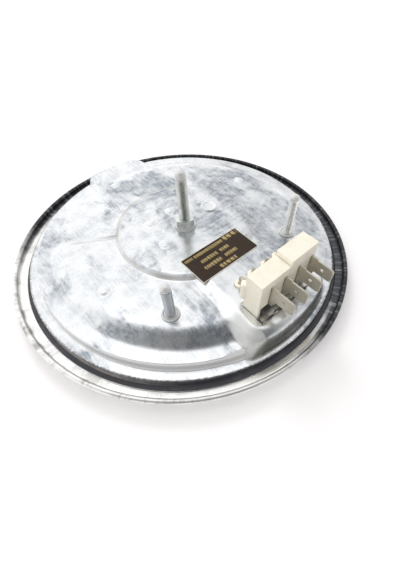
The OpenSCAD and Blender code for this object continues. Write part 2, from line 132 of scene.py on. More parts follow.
class Graph:
    """One node tree, filled by Python calls."""

    def __init__(self, tree: bpy.types.NodeTree) -> None:
        """Empty the tree.

        Args:
            tree: The node tree to fill.
        """
        self.tree = tree
        tree.nodes.clear()

    def node(
        self, kind: str, settings: dict[str, object], sockets: dict[int | str, object], out: int | str = 0
    ) -> Wire:
        """Make any node.

        Args:
            kind: The node's type.
            settings: Its properties, and "stops" for a ramp, set before the sockets.
            sockets: Values or links of its inputs, by index or name.
            out: The output to return.

        Returns:
            The output as a wire.
        """
        made = self.tree.nodes.new(kind)
        for name, value in settings.items():
            if name == "stops":
                self._stops(made.color_ramp, value)
            else:
                setattr(made, name, value)
        for key, value in sockets.items():
            if isinstance(value, Wire):
                self.tree.links.new(value.socket, made.inputs[key])
            else:
                made.inputs[key].default_value = value
        return Wire(self, made.outputs[out]) if made.outputs else Wire(self, None)

    @staticmethod
    def _stops(ramp: bpy.types.ColorRamp, stops: Sequence[tuple[float, Colour]]) -> None:
        """Set a ramp's stops.

        Args:
            ramp: The ramp.
            stops: Positions and colours, from low to high.
        """
        while len(ramp.elements) < len(stops):
            ramp.elements.new(1.0)
        for element, (position, colour) in zip(ramp.elements, stops):
            element.position = position
            element.color = (*colour, 1.0)

    def place(self) -> Wire:
        """Return the object coordinates, in metres."""
        return self.node("ShaderNodeTexCoord", {}, {}, "Object")

    def axes(self, vector: Wire) -> tuple[Wire, Wire, Wire]:
        """Split a vector.

        Args:
            vector: The vector.

        Returns:
            Its x, y and z.
        """
        first = self.node("ShaderNodeSeparateXYZ", {}, {0: vector})
        sockets = first.socket.node.outputs
        return tuple(Wire(self, s) for s in sockets)

    def vector(self, x: Wire | float, y: Wire | float, z: Wire | float) -> Wire:
        """Join three numbers into a vector."""
        return self.node("ShaderNodeCombineXYZ", {}, {0: x, 1: y, 2: z})

    def radius(self, vector: Wire) -> Wire:
        """Return the distance from the upright axis through the origin."""
        x, y, _ = self.axes(vector)
        return (x * x + y * y) ** 0.5

    def stretch(self, vector: Wire, scale: Colour, turn: float = 0.0) -> Wire:
        """Scale and turn coordinates.

        Args:
            vector: The coordinates.
            scale: Factors along the three axes.
            turn: Turn about Z, in degrees.

        Returns:
            The new coordinates.
        """
        turned = (0.0, 0.0, math.radians(turn))
        return self.node("ShaderNodeMapping", {}, {"Vector": vector, "Rotation": turned, "Scale": scale})

    def noise(self, vector: Wire, scale: float, detail: float = 3.0, rough: float = 0.5, bend: float = 0.0) -> Wire:
        """Return fractal noise of a given scale, in cells per metre."""
        sockets = {"Vector": vector, "Scale": scale, "Detail": detail, "Roughness": rough, "Distortion": bend}
        return self.node("ShaderNodeTexNoise", {}, sockets)

    def span(self, value: Wire, low: float, high: float, to_low: float = 0.0, to_high: float = 1.0) -> Wire:
        """Map a range of numbers smoothly to another, clamped."""
        sockets = {0: value, 1: low, 2: high, 3: to_low, 4: to_high}
        return self.node("ShaderNodeMapRange", {"interpolation_type": "SMOOTHSTEP"}, sockets)

    def band(self, value: Wire, low: float, high: float, soft: float) -> Wire:
        """Return 1 where a value lies between two limits, falling to 0 outside them."""
        return self.span(value, low - soft, low) * self.span(value, high, high + soft, 1.0, 0.0)

    def mix(self, factor: Wire | float, low: Wire | Colour, high: Wire | Colour) -> Wire:
        """Mix two colours."""
        ends = [v if isinstance(v, Wire) else (*v, 1.0) for v in (low, high)]
        return self.node("ShaderNodeMix", {"data_type": "RGBA"}, {0: factor, 6: ends[0], 7: ends[1]}, 2)

    def bump(self, height: Wire, depth: float, under: Wire | None = None) -> Wire:
        """Return a bumped normal.

        Args:
            height: Heights from 0 to 1.
            depth: The depth of a height of 1, in metres.
            under: A normal to build on.

        Returns:
            The normal.
        """
        sockets: dict[int | str, object] = {"Height": height, "Distance": depth, "Strength": 1.0}
        if under is not None:
            sockets["Normal"] = under
        return self.node("ShaderNodeBump", {}, sockets)

    def surface(self, sockets: dict[int | str, object]) -> None:
        """Close the graph with one Principled shader.

        Args:
            sockets: Values or links of its inputs.
        """
        shader = self.node("ShaderNodeBsdfPrincipled", {}, sockets)
        self.node("ShaderNodeOutputMaterial", {}, {"Surface": shader})


# ---------------------------------------------------------------- finishes


@dataclass(frozen=True)
class Finish:
    """A finish: a name and the graph that draws it."""

    name: str

    def draw(self, g: Graph) -> None:
        """Fill the graph.

        Args:
            g: The graph of an empty material.
        """
        raise NotImplementedError

    def material(self) -> bpy.types.Material:
        """Return this finish's material, made once."""
        found = bpy.data.materials.get(self.name)
        if found is None:
            found = bpy.data.materials.new(self.name)
            found.use_nodes = True
            self.draw(Graph(found.node_tree))
        return found


@dataclass(frozen=True)
class Mark:
    """A round mark pressed into the cover, in millimetres, sunk where its rise is negative."""

    x: float
    y: float
    size: float
    rise: float


PIPS = (
    Mark(0.4, 13.2, 3.0, 0.75), Mark(-14.8, -3.9, 3.3, 0.65), Mark(-12.2, 11.6, 2.9, 0.65),
    Mark(46.5, 11.2, 2.8, 0.7), Mark(-8.0, 50.6, 2.8, 0.7), Mark(-48.0, -7.8, 2.9, 0.65),
)
DIMPLE = Mark(-17.0, 19.0, 2.4, -0.4)
PAD = Mark(17.5, 3.0, 4.7, 0.9)


@dataclass(frozen=True)
class ZincSheet(Finish):
    """Galvanised sheet with a cloudy bloom, fine scratches and dirt along its rim, and painted light: painted shade in
    its creases and on its walls, painted highlights on its step and its pips, and a painted reflection on one corner.
    """

    bright: Colour = (0.84, 0.855, 0.87)
    bloom: Colour = (0.31, 0.345, 0.385)
    grey: Colour = (0.58, 0.605, 0.635)
    soot: Colour = (0.16, 0.14, 0.12)
    crease_shade: Colour = (0.48, 0.455, 0.41)
    front_wall_shade: Colour = (0.13, 0.13, 0.11)
    disc_r: float = 0.0322
    wall_z: tuple[float, float] = (0.0124, 0.0148)
    front_r: float = 0.0688
    front_z: tuple[float, float] = (0.0083, 0.0146)
    front_x: tuple[float, float] = (-0.0143, 0.0265)
    platform_x: tuple[float, float] = (-0.0207, 0.0262)
    plateau_r: float = 0.052
    step_r: tuple[float, float] = (0.0655, 0.0690)
    step_z: tuple[float, float] = (0.00784, 0.01172)
    step_shade_z: tuple[float, float] = (0.0092, 0.0102)
    corner_x: tuple[float, float] = (-0.0207, -0.0155)
    corner_y: tuple[float, float] = (-0.0540, -0.0490)
    corner_z: tuple[float, float] = (0.0080, 0.0165)
    step_highlight: Colour = (0.90, 0.90, 0.905)
    corner_painted_grey: Colour = (0.62, 0.63, 0.61)
    step_shade: Colour = (0.58, 0.56, 0.555)
    rim_r: float = 0.0724

    def draw(self, g: Graph) -> None:
        """Fill the graph."""
        p = g.place()
        x, y, z = g.axes(p)
        r = g.radius(p)
        on_disc = g.span(r, self.disc_r - 0.002, self.disc_r, 1.0, 0.0)
        grain = g.noise(p, 300.0, 5.0, 0.65)
        along = g.noise(g.stretch(p, (1.0, 0.07, 1.0)), 1500.0, 3.0, 0.65)
        across = g.noise(g.stretch(p, (0.07, 1.0, 1.0)), 1500.0, 3.0, 0.65)
        fine = across * on_disc + along * (1.0 - on_disc)
        # painted highlight: the pips and the pad lose their bloom and grey and have less metal
        pressed = self._pressed(g, x, y)
        fold = self._folds(g, x, y, z, r)
        mask = self._bloom(g, p, g.span(fine, 0.38, 0.62), grain, on_disc) * (1.0 - 0.85 * pressed)
        drift = g.span(g.noise(p, 120.0, 5.0, 0.68), 0.40, 0.66)
        drift = drift * (0.40 + 0.60 * g.span(fine, 0.35, 0.65))
        colour = g.mix(drift * 0.80 * (1.0 - 0.8 * pressed), self.bright, self.grey)
        colour = g.mix(mask, colour, self.bloom)
        step = g.band(r, *self.step_r, 0.0003) * g.band(z, *self.step_z, 0.00008)
        # painted reflection: the platform's near left corner is painted a flat mid grey with less metal, in place of
        # its reflection
        inward = x + 0.4 * (self.wall_z[1] - z)
        corner = g.band(inward, *self.corner_x, 0.0010) * g.span(y, *self.corner_y, 1.0, 0.0)
        corner = corner * g.band(z, *self.corner_z, 0.0006)
        # painted highlight: the step's band is painted pale
        colour = g.mix(step * 0.8, colour, self.step_highlight)
        colour = g.mix(corner * 0.9, colour, self.corner_painted_grey)
        # painted shade: the middle of the step's band is painted darker
        colour = g.mix(step * g.band(z, *self.step_shade_z, 0.0009) * 0.6, colour, self.step_shade)
        # painted shade: a grey-beige line darkens the creases at the disc's foot, the back sector's sides and the
        # platform's sides
        colour = g.mix(self._crease_shades(g, x, y, z, r) * (0.30 + 0.7 * grain), colour, self.crease_shade)
        dirt = g.span(r, self.rim_r - 0.0010, self.rim_r - 0.0002) * g.span(g.noise(p, 1300.0, 3.0, 0.7), 0.42, 0.56)
        colour = g.mix(dirt * 0.75, colour, self.soot)
        # painted shade: the platform's steep front wall is painted dark olive
        colour = g.mix(self._front(g, x, y, z, r) * 0.85, colour, self.front_wall_shade)
        rough = 0.20 + 0.14 * mask + 0.08 * grain
        wave = g.bump(g.noise(p, 70.0, 2.0, 0.5), 0.00020)
        nick = g.bump(grain * 0.4 + fine * 0.6, 0.000010, wave)
        metal = (0.92 - 0.62 * fold - 0.45 * pressed - 0.80 * step - 0.70 * corner).clamp()
        g.surface({"Base Color": colour, "Metallic": metal, "Roughness": rough, "Normal": nick})

    @staticmethod
    def _pressed(g: Graph, x: Wire, y: Wire) -> Wire:
        """Return 1 on the pips and the pad, which are painted as a highlight: clean, pale and less metallic."""
        flat = g.vector(x, y, 0.0)
        found = None
        for mark in (*PIPS, PAD):
            away = g.node("ShaderNodeVectorMath", {"operation": "DISTANCE"},
                          {0: flat, 1: (mark.x * MM, mark.y * MM, 0.0)}, "Value")
            one = g.span(away, mark.size * 0.75 * MM, mark.size * MM, 1.0, 0.0)
            found = one if found is None else found + one
        return found.clamp()

    def _folds(self, g: Graph, x: Wire, y: Wire, z: Wire, r: Wire) -> Wire:
        """Return 1 on the steps of the disc and the back sector, which the press has left dull."""
        disc = g.band(r, self.disc_r - 0.0022, self.disc_r + 0.0001, 0.0004) * g.span(z, 0.01688, 0.01697, 1.0, 0.0)
        across = g.node("ShaderNodeMath", {"operation": "ABSOLUTE"}, {0: x})
        side = y * 0.866 - across * 0.5
        sector = g.band(side, -0.0010, 0.0010, 0.0004) * g.band(r, self.disc_r, 0.050, 0.003)
        return (disc + sector).clamp()

    def _bloom(self, g: Graph, p: Wire, scratch: Wire, grain: Wire, on_disc: Wire) -> Wire:
        """Return where the zinc has dulled: in clouds, more on the disc, more towards the right as partly stains and
        partly painted shade, and on the front of the plateau's wall as painted shade.

        Args:
            g: The graph.
            p: The object coordinates.
            scratch: The scratches, from 0 to 1.
            grain: The grain, about 0.5.
            on_disc: 1 on the middle disc.

        Returns:
            The mask.
        """
        x, y, z = g.axes(p)
        cloud = g.noise(g.stretch(p, (1.0, 0.6, 1.0)), 62.0, 5.0, 0.62, 0.3)
        inner = g.span(g.radius(p), self.plateau_r - 0.002, self.plateau_r + 0.004, 1.0, 0.0)
        # more bloom towards the right: partly the zinc's own stains, partly painted shade
        one_sided_tone = g.span(x + 0.35 * y, -0.045, 0.040, -0.05, 0.11) * inner
        # painted shade: more bloom on the front part of the plateau's wall
        slope = g.band(z, *self.wall_z, 0.0008) * g.span(y, -0.030, 0.0, 1.0, 0.0)
        patch = g.span(cloud + one_sided_tone + 0.050 * on_disc + 0.14 * slope, 0.505, 0.67)
        return (patch * (0.55 + 0.45 * scratch) * (0.45 + 0.85 * g.span(grain, 0.32, 0.66))).clamp()

    def _crease_shades(self, g: Graph, x: Wire, y: Wire, z: Wire, r: Wire) -> Wire:
        """Return the painted shade lines at the foot of the disc, beside the back sector and beside the platform."""
        low = g.span(z, 0.0165, 0.0169, 1.0, 0.0)
        foot = g.band(r, self.disc_r - 0.0010, self.disc_r + 0.0001, 0.0005) * g.span(x, -0.005, 0.015, 1.1, 1.3)
        left_right = g.node("ShaderNodeMath", {"operation": "ABSOLUTE"}, {0: x})
        side = y * 0.866 - left_right * 0.5
        edge = g.band(side, -0.0014, -0.0008, 0.0004) * g.band(r, self.disc_r, 0.050, 0.003)
        left, right = (g.band(x, at - 0.0003, at + 0.0003, 0.0004) for at in self.platform_x)
        beside = (left + right) * g.span(y, -0.026, -0.022, 1.0, 0.0) * g.band(z, 0.0150, 0.0158, 0.0003)
        patchy = g.span(g.noise(g.vector(x, y, 0.0), 95.0, 3.0, 0.6), 0.36, 0.60, 0.35, 1.0)
        return (foot + 0.7 * edge + 0.7 * beside).clamp() * low * patchy

    def _front(self, g: Graph, x: Wire, y: Wire, z: Wire, r: Wire) -> Wire:
        """Return the platform's steep front wall, which is painted dark as shade."""
        face = g.span(r, self.front_r - 0.0006, self.front_r) * g.band(z, *self.front_z, 0.0006)
        leaning = x + self.front_z[1] - z
        return face * g.band(leaning, *self.front_x, 0.003) * g.span(y, -0.056, -0.052, 1.0, 0.0)


@dataclass(frozen=True)
class PolishedSteel(Finish):
    """Bright turned stainless steel with fine rings, painted near black on its far right side as a painted reflection,
    with painted glints in streaks.
    """

    colour: Colour = (0.96, 0.955, 0.94)
    stained_and_shaded: Colour = (0.44, 0.43, 0.41)
    dark_reflection: Colour = (0.07, 0.072, 0.08)
    painted_glint: Colour = (0.38, 0.38, 0.375)
    dark_reflection_axis: tuple[float, float] = (0.90, 0.43)
    rim_r: float = 0.078

    def draw(self, g: Graph) -> None:
        """Fill the graph."""
        p = g.place()
        r = g.radius(p)
        x, y, z = g.axes(p)
        rings = g.noise(g.vector(r, 0.0, z), 2600.0, 2.0, 0.5)
        streaks = g.noise(g.vector(x / r * self.rim_r, y / r * self.rim_r, r * 0.06), 620.0, 4.0, 0.7)
        stain = g.noise(p, 90.0, 4.0, 0.65)
        side = (x * self.dark_reflection_axis[0] + y * self.dark_reflection_axis[1]) / r
        on_lip = g.span(r, self.rim_r - 0.0010, self.rim_r - 0.0002)
        outer = g.span(r, self.rim_r - 0.0022, self.rim_r - 0.0010, 0.0, 0.22)
        # painted reflection: the far right side and the outer lip are painted near black, with painted glints in
        # streaks
        dark_side = g.span(side + outer + 0.35 * (stain - 0.5), -0.42, -0.02)
        # grey patches: partly stains, partly painted shade, weighted to the left side and the lip
        left_stain_and_shade = g.span(x / r, -0.95, -0.35, 0.50, 0.06) * (1.0 + on_lip)
        bright = g.mix(g.span(stain + 0.3 * (streaks - 0.5), 0.45, 0.66) * left_stain_and_shade, self.colour, self.stained_and_shaded)
        dark = g.mix(g.span(streaks, 0.46, 0.78), self.dark_reflection, self.painted_glint)
        rough = 0.15 + 0.12 * g.span(stain, 0.35, 0.75) + 0.06 * rings + 0.12 * dark_side + 0.26 * on_lip
        wave = g.bump(g.noise(p, 60.0, 2.0, 0.5), 0.00016)
        g.surface({
            "Base Color": g.mix(dark_side, bright, dark), "Metallic": 1.0, "Roughness": rough,
            "Normal": g.bump(rings, 0.000030, wave),
        })


@dataclass(frozen=True)
class CastIron(Finish):
    """Black sealed iron, ground in rings on its cooking face, with a painted sheen on the left of its rim."""

    colour: Colour = (0.080, 0.080, 0.092)
    one_sided_tone: Colour = (0.46, 0.43, 0.415)
    rim_r: tuple[float, float] = (0.0708, 0.0726)

    def draw(self, g: Graph) -> None:
        """Fill the graph."""
        p = g.place()
        rings = g.noise(g.vector(g.radius(p), 0.0, 0.0), 1500.0, 3.0, 0.6)
        pits = g.noise(p, 900.0, 4.0, 0.65)
        dust = g.noise(p, 120.0, 4.0, 0.6)
        colour = g.mix(g.span(dust, 0.45, 0.8) * 0.5, self.colour, (0.17, 0.168, 0.175))
        x, y, _ = g.axes(p)
        r = g.radius(p)
        # painted sheen: the rim band is painted paler on the left side
        left = g.span(x / r, -0.88, -0.62, 1.0, 0.0) * g.span(dust, 0.30, 0.55, 0.55, 1.0)
        colour = g.mix(g.band(r, *self.rim_r, 0.0003) * left, colour, self.one_sided_tone)
        normal = g.bump(pits, 0.00005, g.bump(rings, 0.00004))
        g.surface({
            "Base Color": colour, "Metallic": 0.15, "Roughness": 0.50 + 0.18 * pits, "Normal": normal,
        })


@dataclass(frozen=True)
class PlatedSteel(Finish):
    """Bright zinc plating with a faint warm and cool drift."""

    colour: Colour = (0.78, 0.78, 0.76)
    shade: Colour = (0.50, 0.53, 0.50)
    rough: float = 0.20
    metal: float = 1.0

    def draw(self, g: Graph) -> None:
        """Fill the graph."""
        p = g.place()
        drift = g.noise(p, 260.0, 3.0, 0.6)
        grain = g.noise(p, 2400.0, 2.0, 0.6)
        colour = g.mix(g.span(drift, 0.35, 0.75) * 0.5, self.colour, self.shade)
        g.surface({
            "Base Color": colour, "Metallic": self.metal, "Roughness": self.rough + 0.12 * drift,
            "Normal": g.bump(grain, 0.000012),
        })


@dataclass(frozen=True)
class Steatite(Finish):
    """Unglazed ivory ceramic with a fine grain and a few specks, dark inside its arch."""

    colour: Colour = (0.97, 0.93, 0.80)
    speck: Colour = (0.50, 0.42, 0.30)
    shade: Colour = (0.07, 0.06, 0.05)
    arch: tuple[float, float, float, float] | None = None

    def draw(self, g: Graph) -> None:
        """Fill the graph."""
        p = g.place()
        cloud = g.noise(p, 220.0, 4.0, 0.6)
        specks = g.span(g.noise(p, 1700.0, 2.0, 0.5), 0.70, 0.80)
        colour = g.mix(g.span(cloud, 0.35, 0.75) * 0.42, self.colour, (0.86, 0.775, 0.60))
        colour = g.mix(specks * 0.5, colour, self.speck)
        if self.arch is not None:
            colour = g.mix(self._under_arch(g, p), colour, self.shade)
        g.surface({
            "Base Color": colour, "Roughness": 0.48 + 0.14 * cloud, "IOR": 1.55,
            "Normal": g.bump(g.noise(p, 1300.0, 3.0, 0.6), 0.00003),
        })

    def _under_arch(self, g: Graph, p: Wire) -> Wire:
        """Return 1 on the surfaces inside the arch and 0 elsewhere.

        Args:
            g: The graph.
            p: The object coordinates.

        Returns:
            The mask.
        """
        left, right, front, top = self.arch
        x, y, z = g.axes(p)
        soft = 0.0003
        return g.band(x, left, right, soft) * g.span(y, front, front + 0.0012) * g.span(z, top, top + soft, 1.0, 0.0)


@dataclass(frozen=True)
class Foil(Finish):
    """Dark printed foil, a little brushed."""

    colour: Colour = (0.034, 0.021, 0.014)

    def draw(self, g: Graph) -> None:
        """Fill the graph."""
        p = g.place()
        drift = g.noise(p, 70.0, 2.0, 0.5)
        brush = g.noise(g.stretch(p, (0.05, 1.0, 1.0)), 3000.0, 2.0, 0.5)
        colour = g.mix(drift, self.colour, (0.055, 0.040, 0.030))
        g.surface({
            "Base Color": colour, "Roughness": 0.45 + 0.1 * brush, "Specular IOR Level": 0.12,
            "Normal": g.bump(brush, 0.000006, g.bump(drift, 0.00010)),
        })


@dataclass(frozen=True)
class Plain(Finish):
    """A plain material with a mottled colour and a fine grain."""

    colour: Colour
    other: Colour
    rough: float = 0.6
    metal: float = 0.0
    cells: float = 400.0

    def draw(self, g: Graph) -> None:
        """Fill the graph."""
        p = g.place()
        cloud = g.noise(p, self.cells, 4.0, 0.6)
        g.surface({
            "Base Color": g.mix(g.span(cloud, 0.35, 0.7), self.colour, self.other),
            "Metallic": self.metal, "Roughness": self.rough + 0.15 * cloud,
            "Normal": g.bump(g.noise(p, self.cells * 5, 3.0, 0.6), 0.00003),
        })


@dataclass(frozen=True)
class StudioFloor(Finish):
    """White paper that keeps the shadow and shows as white around it."""

    colour: Colour = (0.82, 0.79, 0.795)
    other: Colour = (0.84, 0.81, 0.815)
    near: float = 0.24
    far: float = 0.42

    def draw(self, g: Graph) -> None:
        """Fill the graph."""
        p = g.place()
        # painted shade: the glow is weaker near the plate, so the floor there is darker
        lift = g.span(g.radius(p), 0.10, 0.60, self.near, self.far)
        g.surface({
            "Base Color": g.mix(g.noise(p, 500.0, 3.0, 0.6), self.colour, self.other),
            "Roughness": 1.0, "Specular IOR Level": 0.0, "Emission Strength": 1.0,
            "Emission Color": g.mix(self._sees(g) * lift, (0.0, 0.0, 0.0), (1.0, 1.0, 1.0)),
        })

    @staticmethod
    def _sees(g: Graph) -> Wire:
        """Return 1 for the rays that show the floor: from the camera, in a gloss or through glass."""
        path = g.node("ShaderNodeLightPath", {}, {}, "Is Camera Ray")
        outs = path.socket.node.outputs
        return (path + Wire(g, outs["Is Glossy Ray"]) + Wire(g, outs["Is Transmission Ray"])).clamp()


ZINC = ZincSheet("galvanised_sheet")
STAINLESS = PolishedSteel("polished_stainless")
IRON = CastIron("black_cast_iron")
PLATED = PlatedSteel("bright_plating", (0.84, 0.86, 0.85), (0.60, 0.62, 0.60), 0.18)
NUT = PlatedSteel("nut_plating", (0.82, 0.85, 0.84), (0.60, 0.63, 0.61), 0.22, 0.8)
# the stud's darker colour is partly its plating and partly painted shade of its threads
STUD = PlatedSteel("stud_plating", (0.62, 0.64, 0.61), (0.30, 0.32, 0.30), 0.08)
PIN = PlatedSteel("pin_plating", (0.50, 0.53, 0.56), (0.32, 0.35, 0.38), 0.16)
# a paler, less metallic copy of the plating: painted highlight on the stud's end, the washer and the pins' collars and
# ends
DOME = PlatedSteel("rolled_stud_end", (0.76, 0.76, 0.75), (0.62, 0.62, 0.61), 0.46, 0.5)
NICKEL = PlatedSteel("nickel_plating", (0.64, 0.605, 0.51), (0.50, 0.47, 0.395), 0.38, 0.65)
CERAMIC = Steatite("ivory_ceramic")
LOW_CERAMIC = Steatite("low_block_ceramic", arch=(-0.0102, 0.0024, -0.0583, 0.0211))
HIGH_CERAMIC = Steatite("high_block_ceramic", arch=(0.0052, 0.0178, -0.0583, 0.0211))
FOIL = Foil("dark_foil_print")
FOIL_EDGE = PlatedSteel("foil_edge", (0.86, 0.83, 0.74), (0.80, 0.77, 0.68), 0.4)
GOLD = PlatedSteel("gold_print", (0.56, 0.43, 0.21), (0.36, 0.27, 0.13), 0.36)
BOARD = Plain("mineral_board", (0.60, 0.56, 0.48), (0.70, 0.67, 0.60))
PACKING = Plain("pressed_packing", (0.58, 0.56, 0.52), (0.66, 0.64, 0.60))
WIRE = Plain("dull_wire", (0.33, 0.31, 0.29), (0.42, 0.40, 0.37), 0.4, 1.0)
FLOOR = StudioFloor("white_paper")


# ---------------------------------------------------------------- mesh tools


def smooth_corners(points: Sequence[tuple[float, float, float]], steps: int = 5) -> Array:
    """Round the corners of an open path.

    Args:
        points: Corner points as (a, b, reach), reach being how far the rounding starts from the corner.
        steps: Segments in each rounded corner.

    Returns:
        The path's points, n by 2.
    """
    path = [np.array(points[0][:2], float)]
    for before, here, after in zip(points, points[1:], points[2:]):
        p, q, r = (np.array(v[:2], float) for v in (before, here, after))
        reach = min(here[2], 0.48 * np.linalg.norm(p - q), 0.48 * np.linalg.norm(r - q))
        if reach <= 0:
            path.append(q)
            continue
        a = q + (p - q) / np.linalg.norm(p - q) * reach
        b = q + (r - q) / np.linalg.norm(r - q) * reach
        for t in np.linspace(0.0, 1.0, steps + 1):
            path.append((1 - t) ** 2 * a + 2 * t * (1 - t) * q + t * t * b)
    path.append(np.array(points[-1][:2], float))
    return np.array(path)


def arc(centre: Point2, radius: float, start: float, end: float, steps: int) -> list[tuple[float, float, float]]:
    """Return path points on an arc, with no rounding, angles in degrees."""
    angles = np.radians(np.linspace(start, end, steps + 1))
    return [(centre[0] + radius * math.cos(a), centre[1] + radius * math.sin(a), 0.0) for a in angles]


def make_object(name: str, verts: Array, faces: Iterable[Sequence[int]], finish: Finish, slot: Slot) -> bpy.types.Object:
    """Make a smooth mesh object that rides on the plate.

    Args:
        name: The piece's name.
        verts: Its vertices in millimetres, n by 3.
        faces: Its faces.
        finish: Its finish.
        slot: The record's slot for the piece; not used.

    Returns:
        The object.
    """
    mesh = bpy.data.meshes.new(name)
    mesh.from_pydata((np.asarray(verts, float) * MM).tolist(), [], [tuple(int(i) for i in f) for f in faces])
    mesh.validate()
    mesh.shade_smooth()
    return settle(bpy.data.objects.new(name, mesh), finish)


def settle(piece: bpy.types.Object, finish: Finish) -> bpy.types.Object:
    """Link a piece, dress it and let it ride on the plate."""
    bpy.context.scene.collection.objects.link(piece)
    piece.data.materials.clear()
    piece.data.materials.append(finish.material())
    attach(piece, "root")
    return piece


def turned(path: Array, segments: int, closed: bool = False, wobble: Array | None = None) -> tuple[Array, list]:
    """Turn a half section about the upright axis.

    Args:
        path: Points (r, z), n by 2.
        segments: Steps round the axis.
        closed: True to join the last point to the first.
        wobble: Radial offsets, n by segments.

    Returns:
        Vertices and faces.
    """
    n = len(path)
    turn = np.linspace(0, 2 * math.pi, segments, endpoint=False)
    r = path[:, 0][:, None] + (0 if wobble is None else wobble)
    r = np.broadcast_to(r, (n, segments))
    z = np.broadcast_to(path[:, 1][:, None], (n, segments))
    verts = np.stack([r * np.cos(turn), r * np.sin(turn), z], axis=-1).reshape(-1, 3)
    rows = range(n if closed else n - 1)
    faces = []
    for i in rows:
        a, b = i * segments, ((i + 1) % n) * segments
        faces += [(a + j, a + (j + 1) % segments, b + (j + 1) % segments, b + j) for j in range(segments)]
    return verts, faces


def join_parts(parts: Sequence[tuple[Array, list]]) -> tuple[Array, list]:
    """Put several meshes' vertices and faces together."""
    verts, faces, base = [], [], 0
    for v, f in parts:
        verts.append(np.asarray(v, float))
        faces += [tuple(i + base for i in face) for face in f]
        base += len(v)
    return np.concatenate(verts), faces


def sharpen(piece: bpy.types.Object, width: float, steps: int = 2, angle: float = 30.0) -> None:
    """Round a piece's hard edges.

    Args:
        piece: The object.
        width: The rounding's width in millimetres.
        steps: Its segments.
        angle: The least angle of an edge that is rounded, in degrees.
    """
    bevel = piece.modifiers.new("rounded_edges", "BEVEL")
    bevel.width = width * MM
    bevel.segments = steps
    bevel.limit_method = "ANGLE"
    bevel.angle_limit = math.radians(angle)
    bevel.harden_normals = True


def stamped_plate(
    name: str, outline: Sequence[Point2], holes: Sequence[Sequence[Point2]], thick: float, bevel: float
) -> bpy.types.Mesh:
    """Make a flat plate with rounded edges in its own plane.

    Args:
        name: The mesh's name.
        outline: Its outline in millimetres.
        holes: Outlines of its holes.
        thick: Its thickness, half on each side of the plane.
        bevel: The rounding of its edges.

    Returns:
        The mesh, in millimetres.
    """
    curve = bpy.data.curves.new(name, "CURVE")
    curve.dimensions = "2D"
    curve.fill_mode = "BOTH"
    curve.extrude = thick / 2 - bevel
    curve.bevel_depth = bevel
    curve.bevel_resolution = 1
    curve.offset = -bevel
    for loop in (outline, *holes):
        spline = curve.splines.new("POLY")
        spline.points.add(len(loop) - 1)
        for point, (x, y) in zip(spline.points, loop):
            point.co = (x, y, 0.0, 1.0)
        spline.use_cyclic_u = True
    holder = bpy.data.objects.new(name, curve)
    bpy.context.scene.collection.objects.link(holder)
    bpy.context.view_layer.update()
    mesh = bpy.data.meshes.new_from_object(holder.evaluated_get(bpy.context.evaluated_depsgraph_get()))
    bpy.data.objects.remove(holder)
    bpy.data.curves.remove(curve)
    return mesh


# ---------------------------------------------------------------- pressed cover


@dataclass(frozen=True)
class Level:
    """One level line of a raised block, from its root in the middle of the plate to an arched front."""

    left: float
    right: float
    root: float
    reach: float
    corner: float
    z: float

    def outline(self) -> Array:
        """Return the closed line, n by 2, with the same count of points for every level."""
        c = self.corner
        left_x, right_x = c - self.left, self.right - c
        left_y, right_y = (-math.sqrt((self.reach - c) ** 2 - x * x) for x in (left_x, right_x))
        left_side = 180.0 - math.degrees(math.atan2(self.left - self.root, -left_y))
        right_side = math.degrees(math.atan2(self.right - self.root, -right_y))
        left_lean = math.degrees(math.atan2(left_y, left_x)) + 360.0
        right_lean = math.degrees(math.atan2(right_y, right_x)) + 360.0
        points = [
            (-self.root, 0.0, 0.0),
            *arc((left_x, left_y), c, left_side, left_lean, 9),
            *arc((0.0, 0.0), self.reach, left_lean, right_lean, 12)[1:-1],
            *arc((right_x, right_y), c, right_lean, 360.0 + right_side, 9),
            (self.root, 0.0, 0.0),
        ]
        return np.array(points)[:, :2]


def outside(loop: Array, x: Array, y: Array) -> Array:
    """Return how far points lie outside a closed loop, negative inside it."""
    best = np.full(x.shape, 1e9)
    inside = np.zeros(x.shape, bool)
    for p, q in zip(loop, np.roll(loop, -1, axis=0)):
        d = q - p
        s = np.clip(((x - p[0]) * d[0] + (y - p[1]) * d[1]) / (d @ d + 1e-12), 0, 1)
        best = np.minimum(best, np.hypot(x - p[0] - s * d[0], y - p[1] - s * d[1]))
        if p[1] != q[1]:
            cut = (q[0] - p[0]) * (y - p[1]) / (q[1] - p[1]) + p[0]
            inside ^= ((p[1] > y) != (q[1] > y)) & (x < cut)
    return np.where(inside, -best, best)


@dataclass(frozen=True)
class Tier:
    """A raised block of the cover, as level lines from its top down to its foot."""

    levels: Sequence[Level]
    side: float

    def height(self, x: Array, y: Array) -> Array:
        """Return the block's height at points, falling away outside its foot."""
        gaps = [outside(level.outline(), x * self.side, y * self.side) for level in self.levels]
        z = self.levels[-1].z - 5 * gaps[-1]
        for i in range(len(self.levels) - 2, -1, -1):
            upper, lower = gaps[i], gaps[i + 1]
            t = np.clip(upper / np.maximum(upper - lower, 1e-6), 0, 1)
            slope = self.levels[i].z + t * (self.levels[i + 1].z - self.levels[i].z)
            z = np.where(lower <= 0, slope, z)
        return np.where(gaps[0] <= 0, self.levels[0].z, z)

    def lines(self) -> list[Array]:
        """Return lines along the block's edges and slopes, for the mesh to follow."""
        loops = [level.outline() for level in self.levels]
        found = []
        for upper, lower in zip(loops, loops[1:]):
            run = np.linalg.norm(lower - upper, axis=1).max()
            steps = max(4, int(run / 0.5))
            found += [upper + (lower - upper) * t for t in np.arange(steps) / steps]
        centre = np.array([0.0, -30.0])
        for loop, offsets in ((loops[0], (-1.3, -0.85, -0.4)), (loops[-1], (0.0, 0.4, 0.8, 1.3))):
            out = loop - centre
            found += [loop + out / np.linalg.norm(out, axis=1)[:, None] * d for d in offsets]
        return [line * self.side for line in found]


def ease(x: Array) -> Array:
    """Return a smooth step from 0 to 1 over 0 to 1."""
    x = np.clip(x, 0, 1)
    return x * x * (3 - 2 * x)


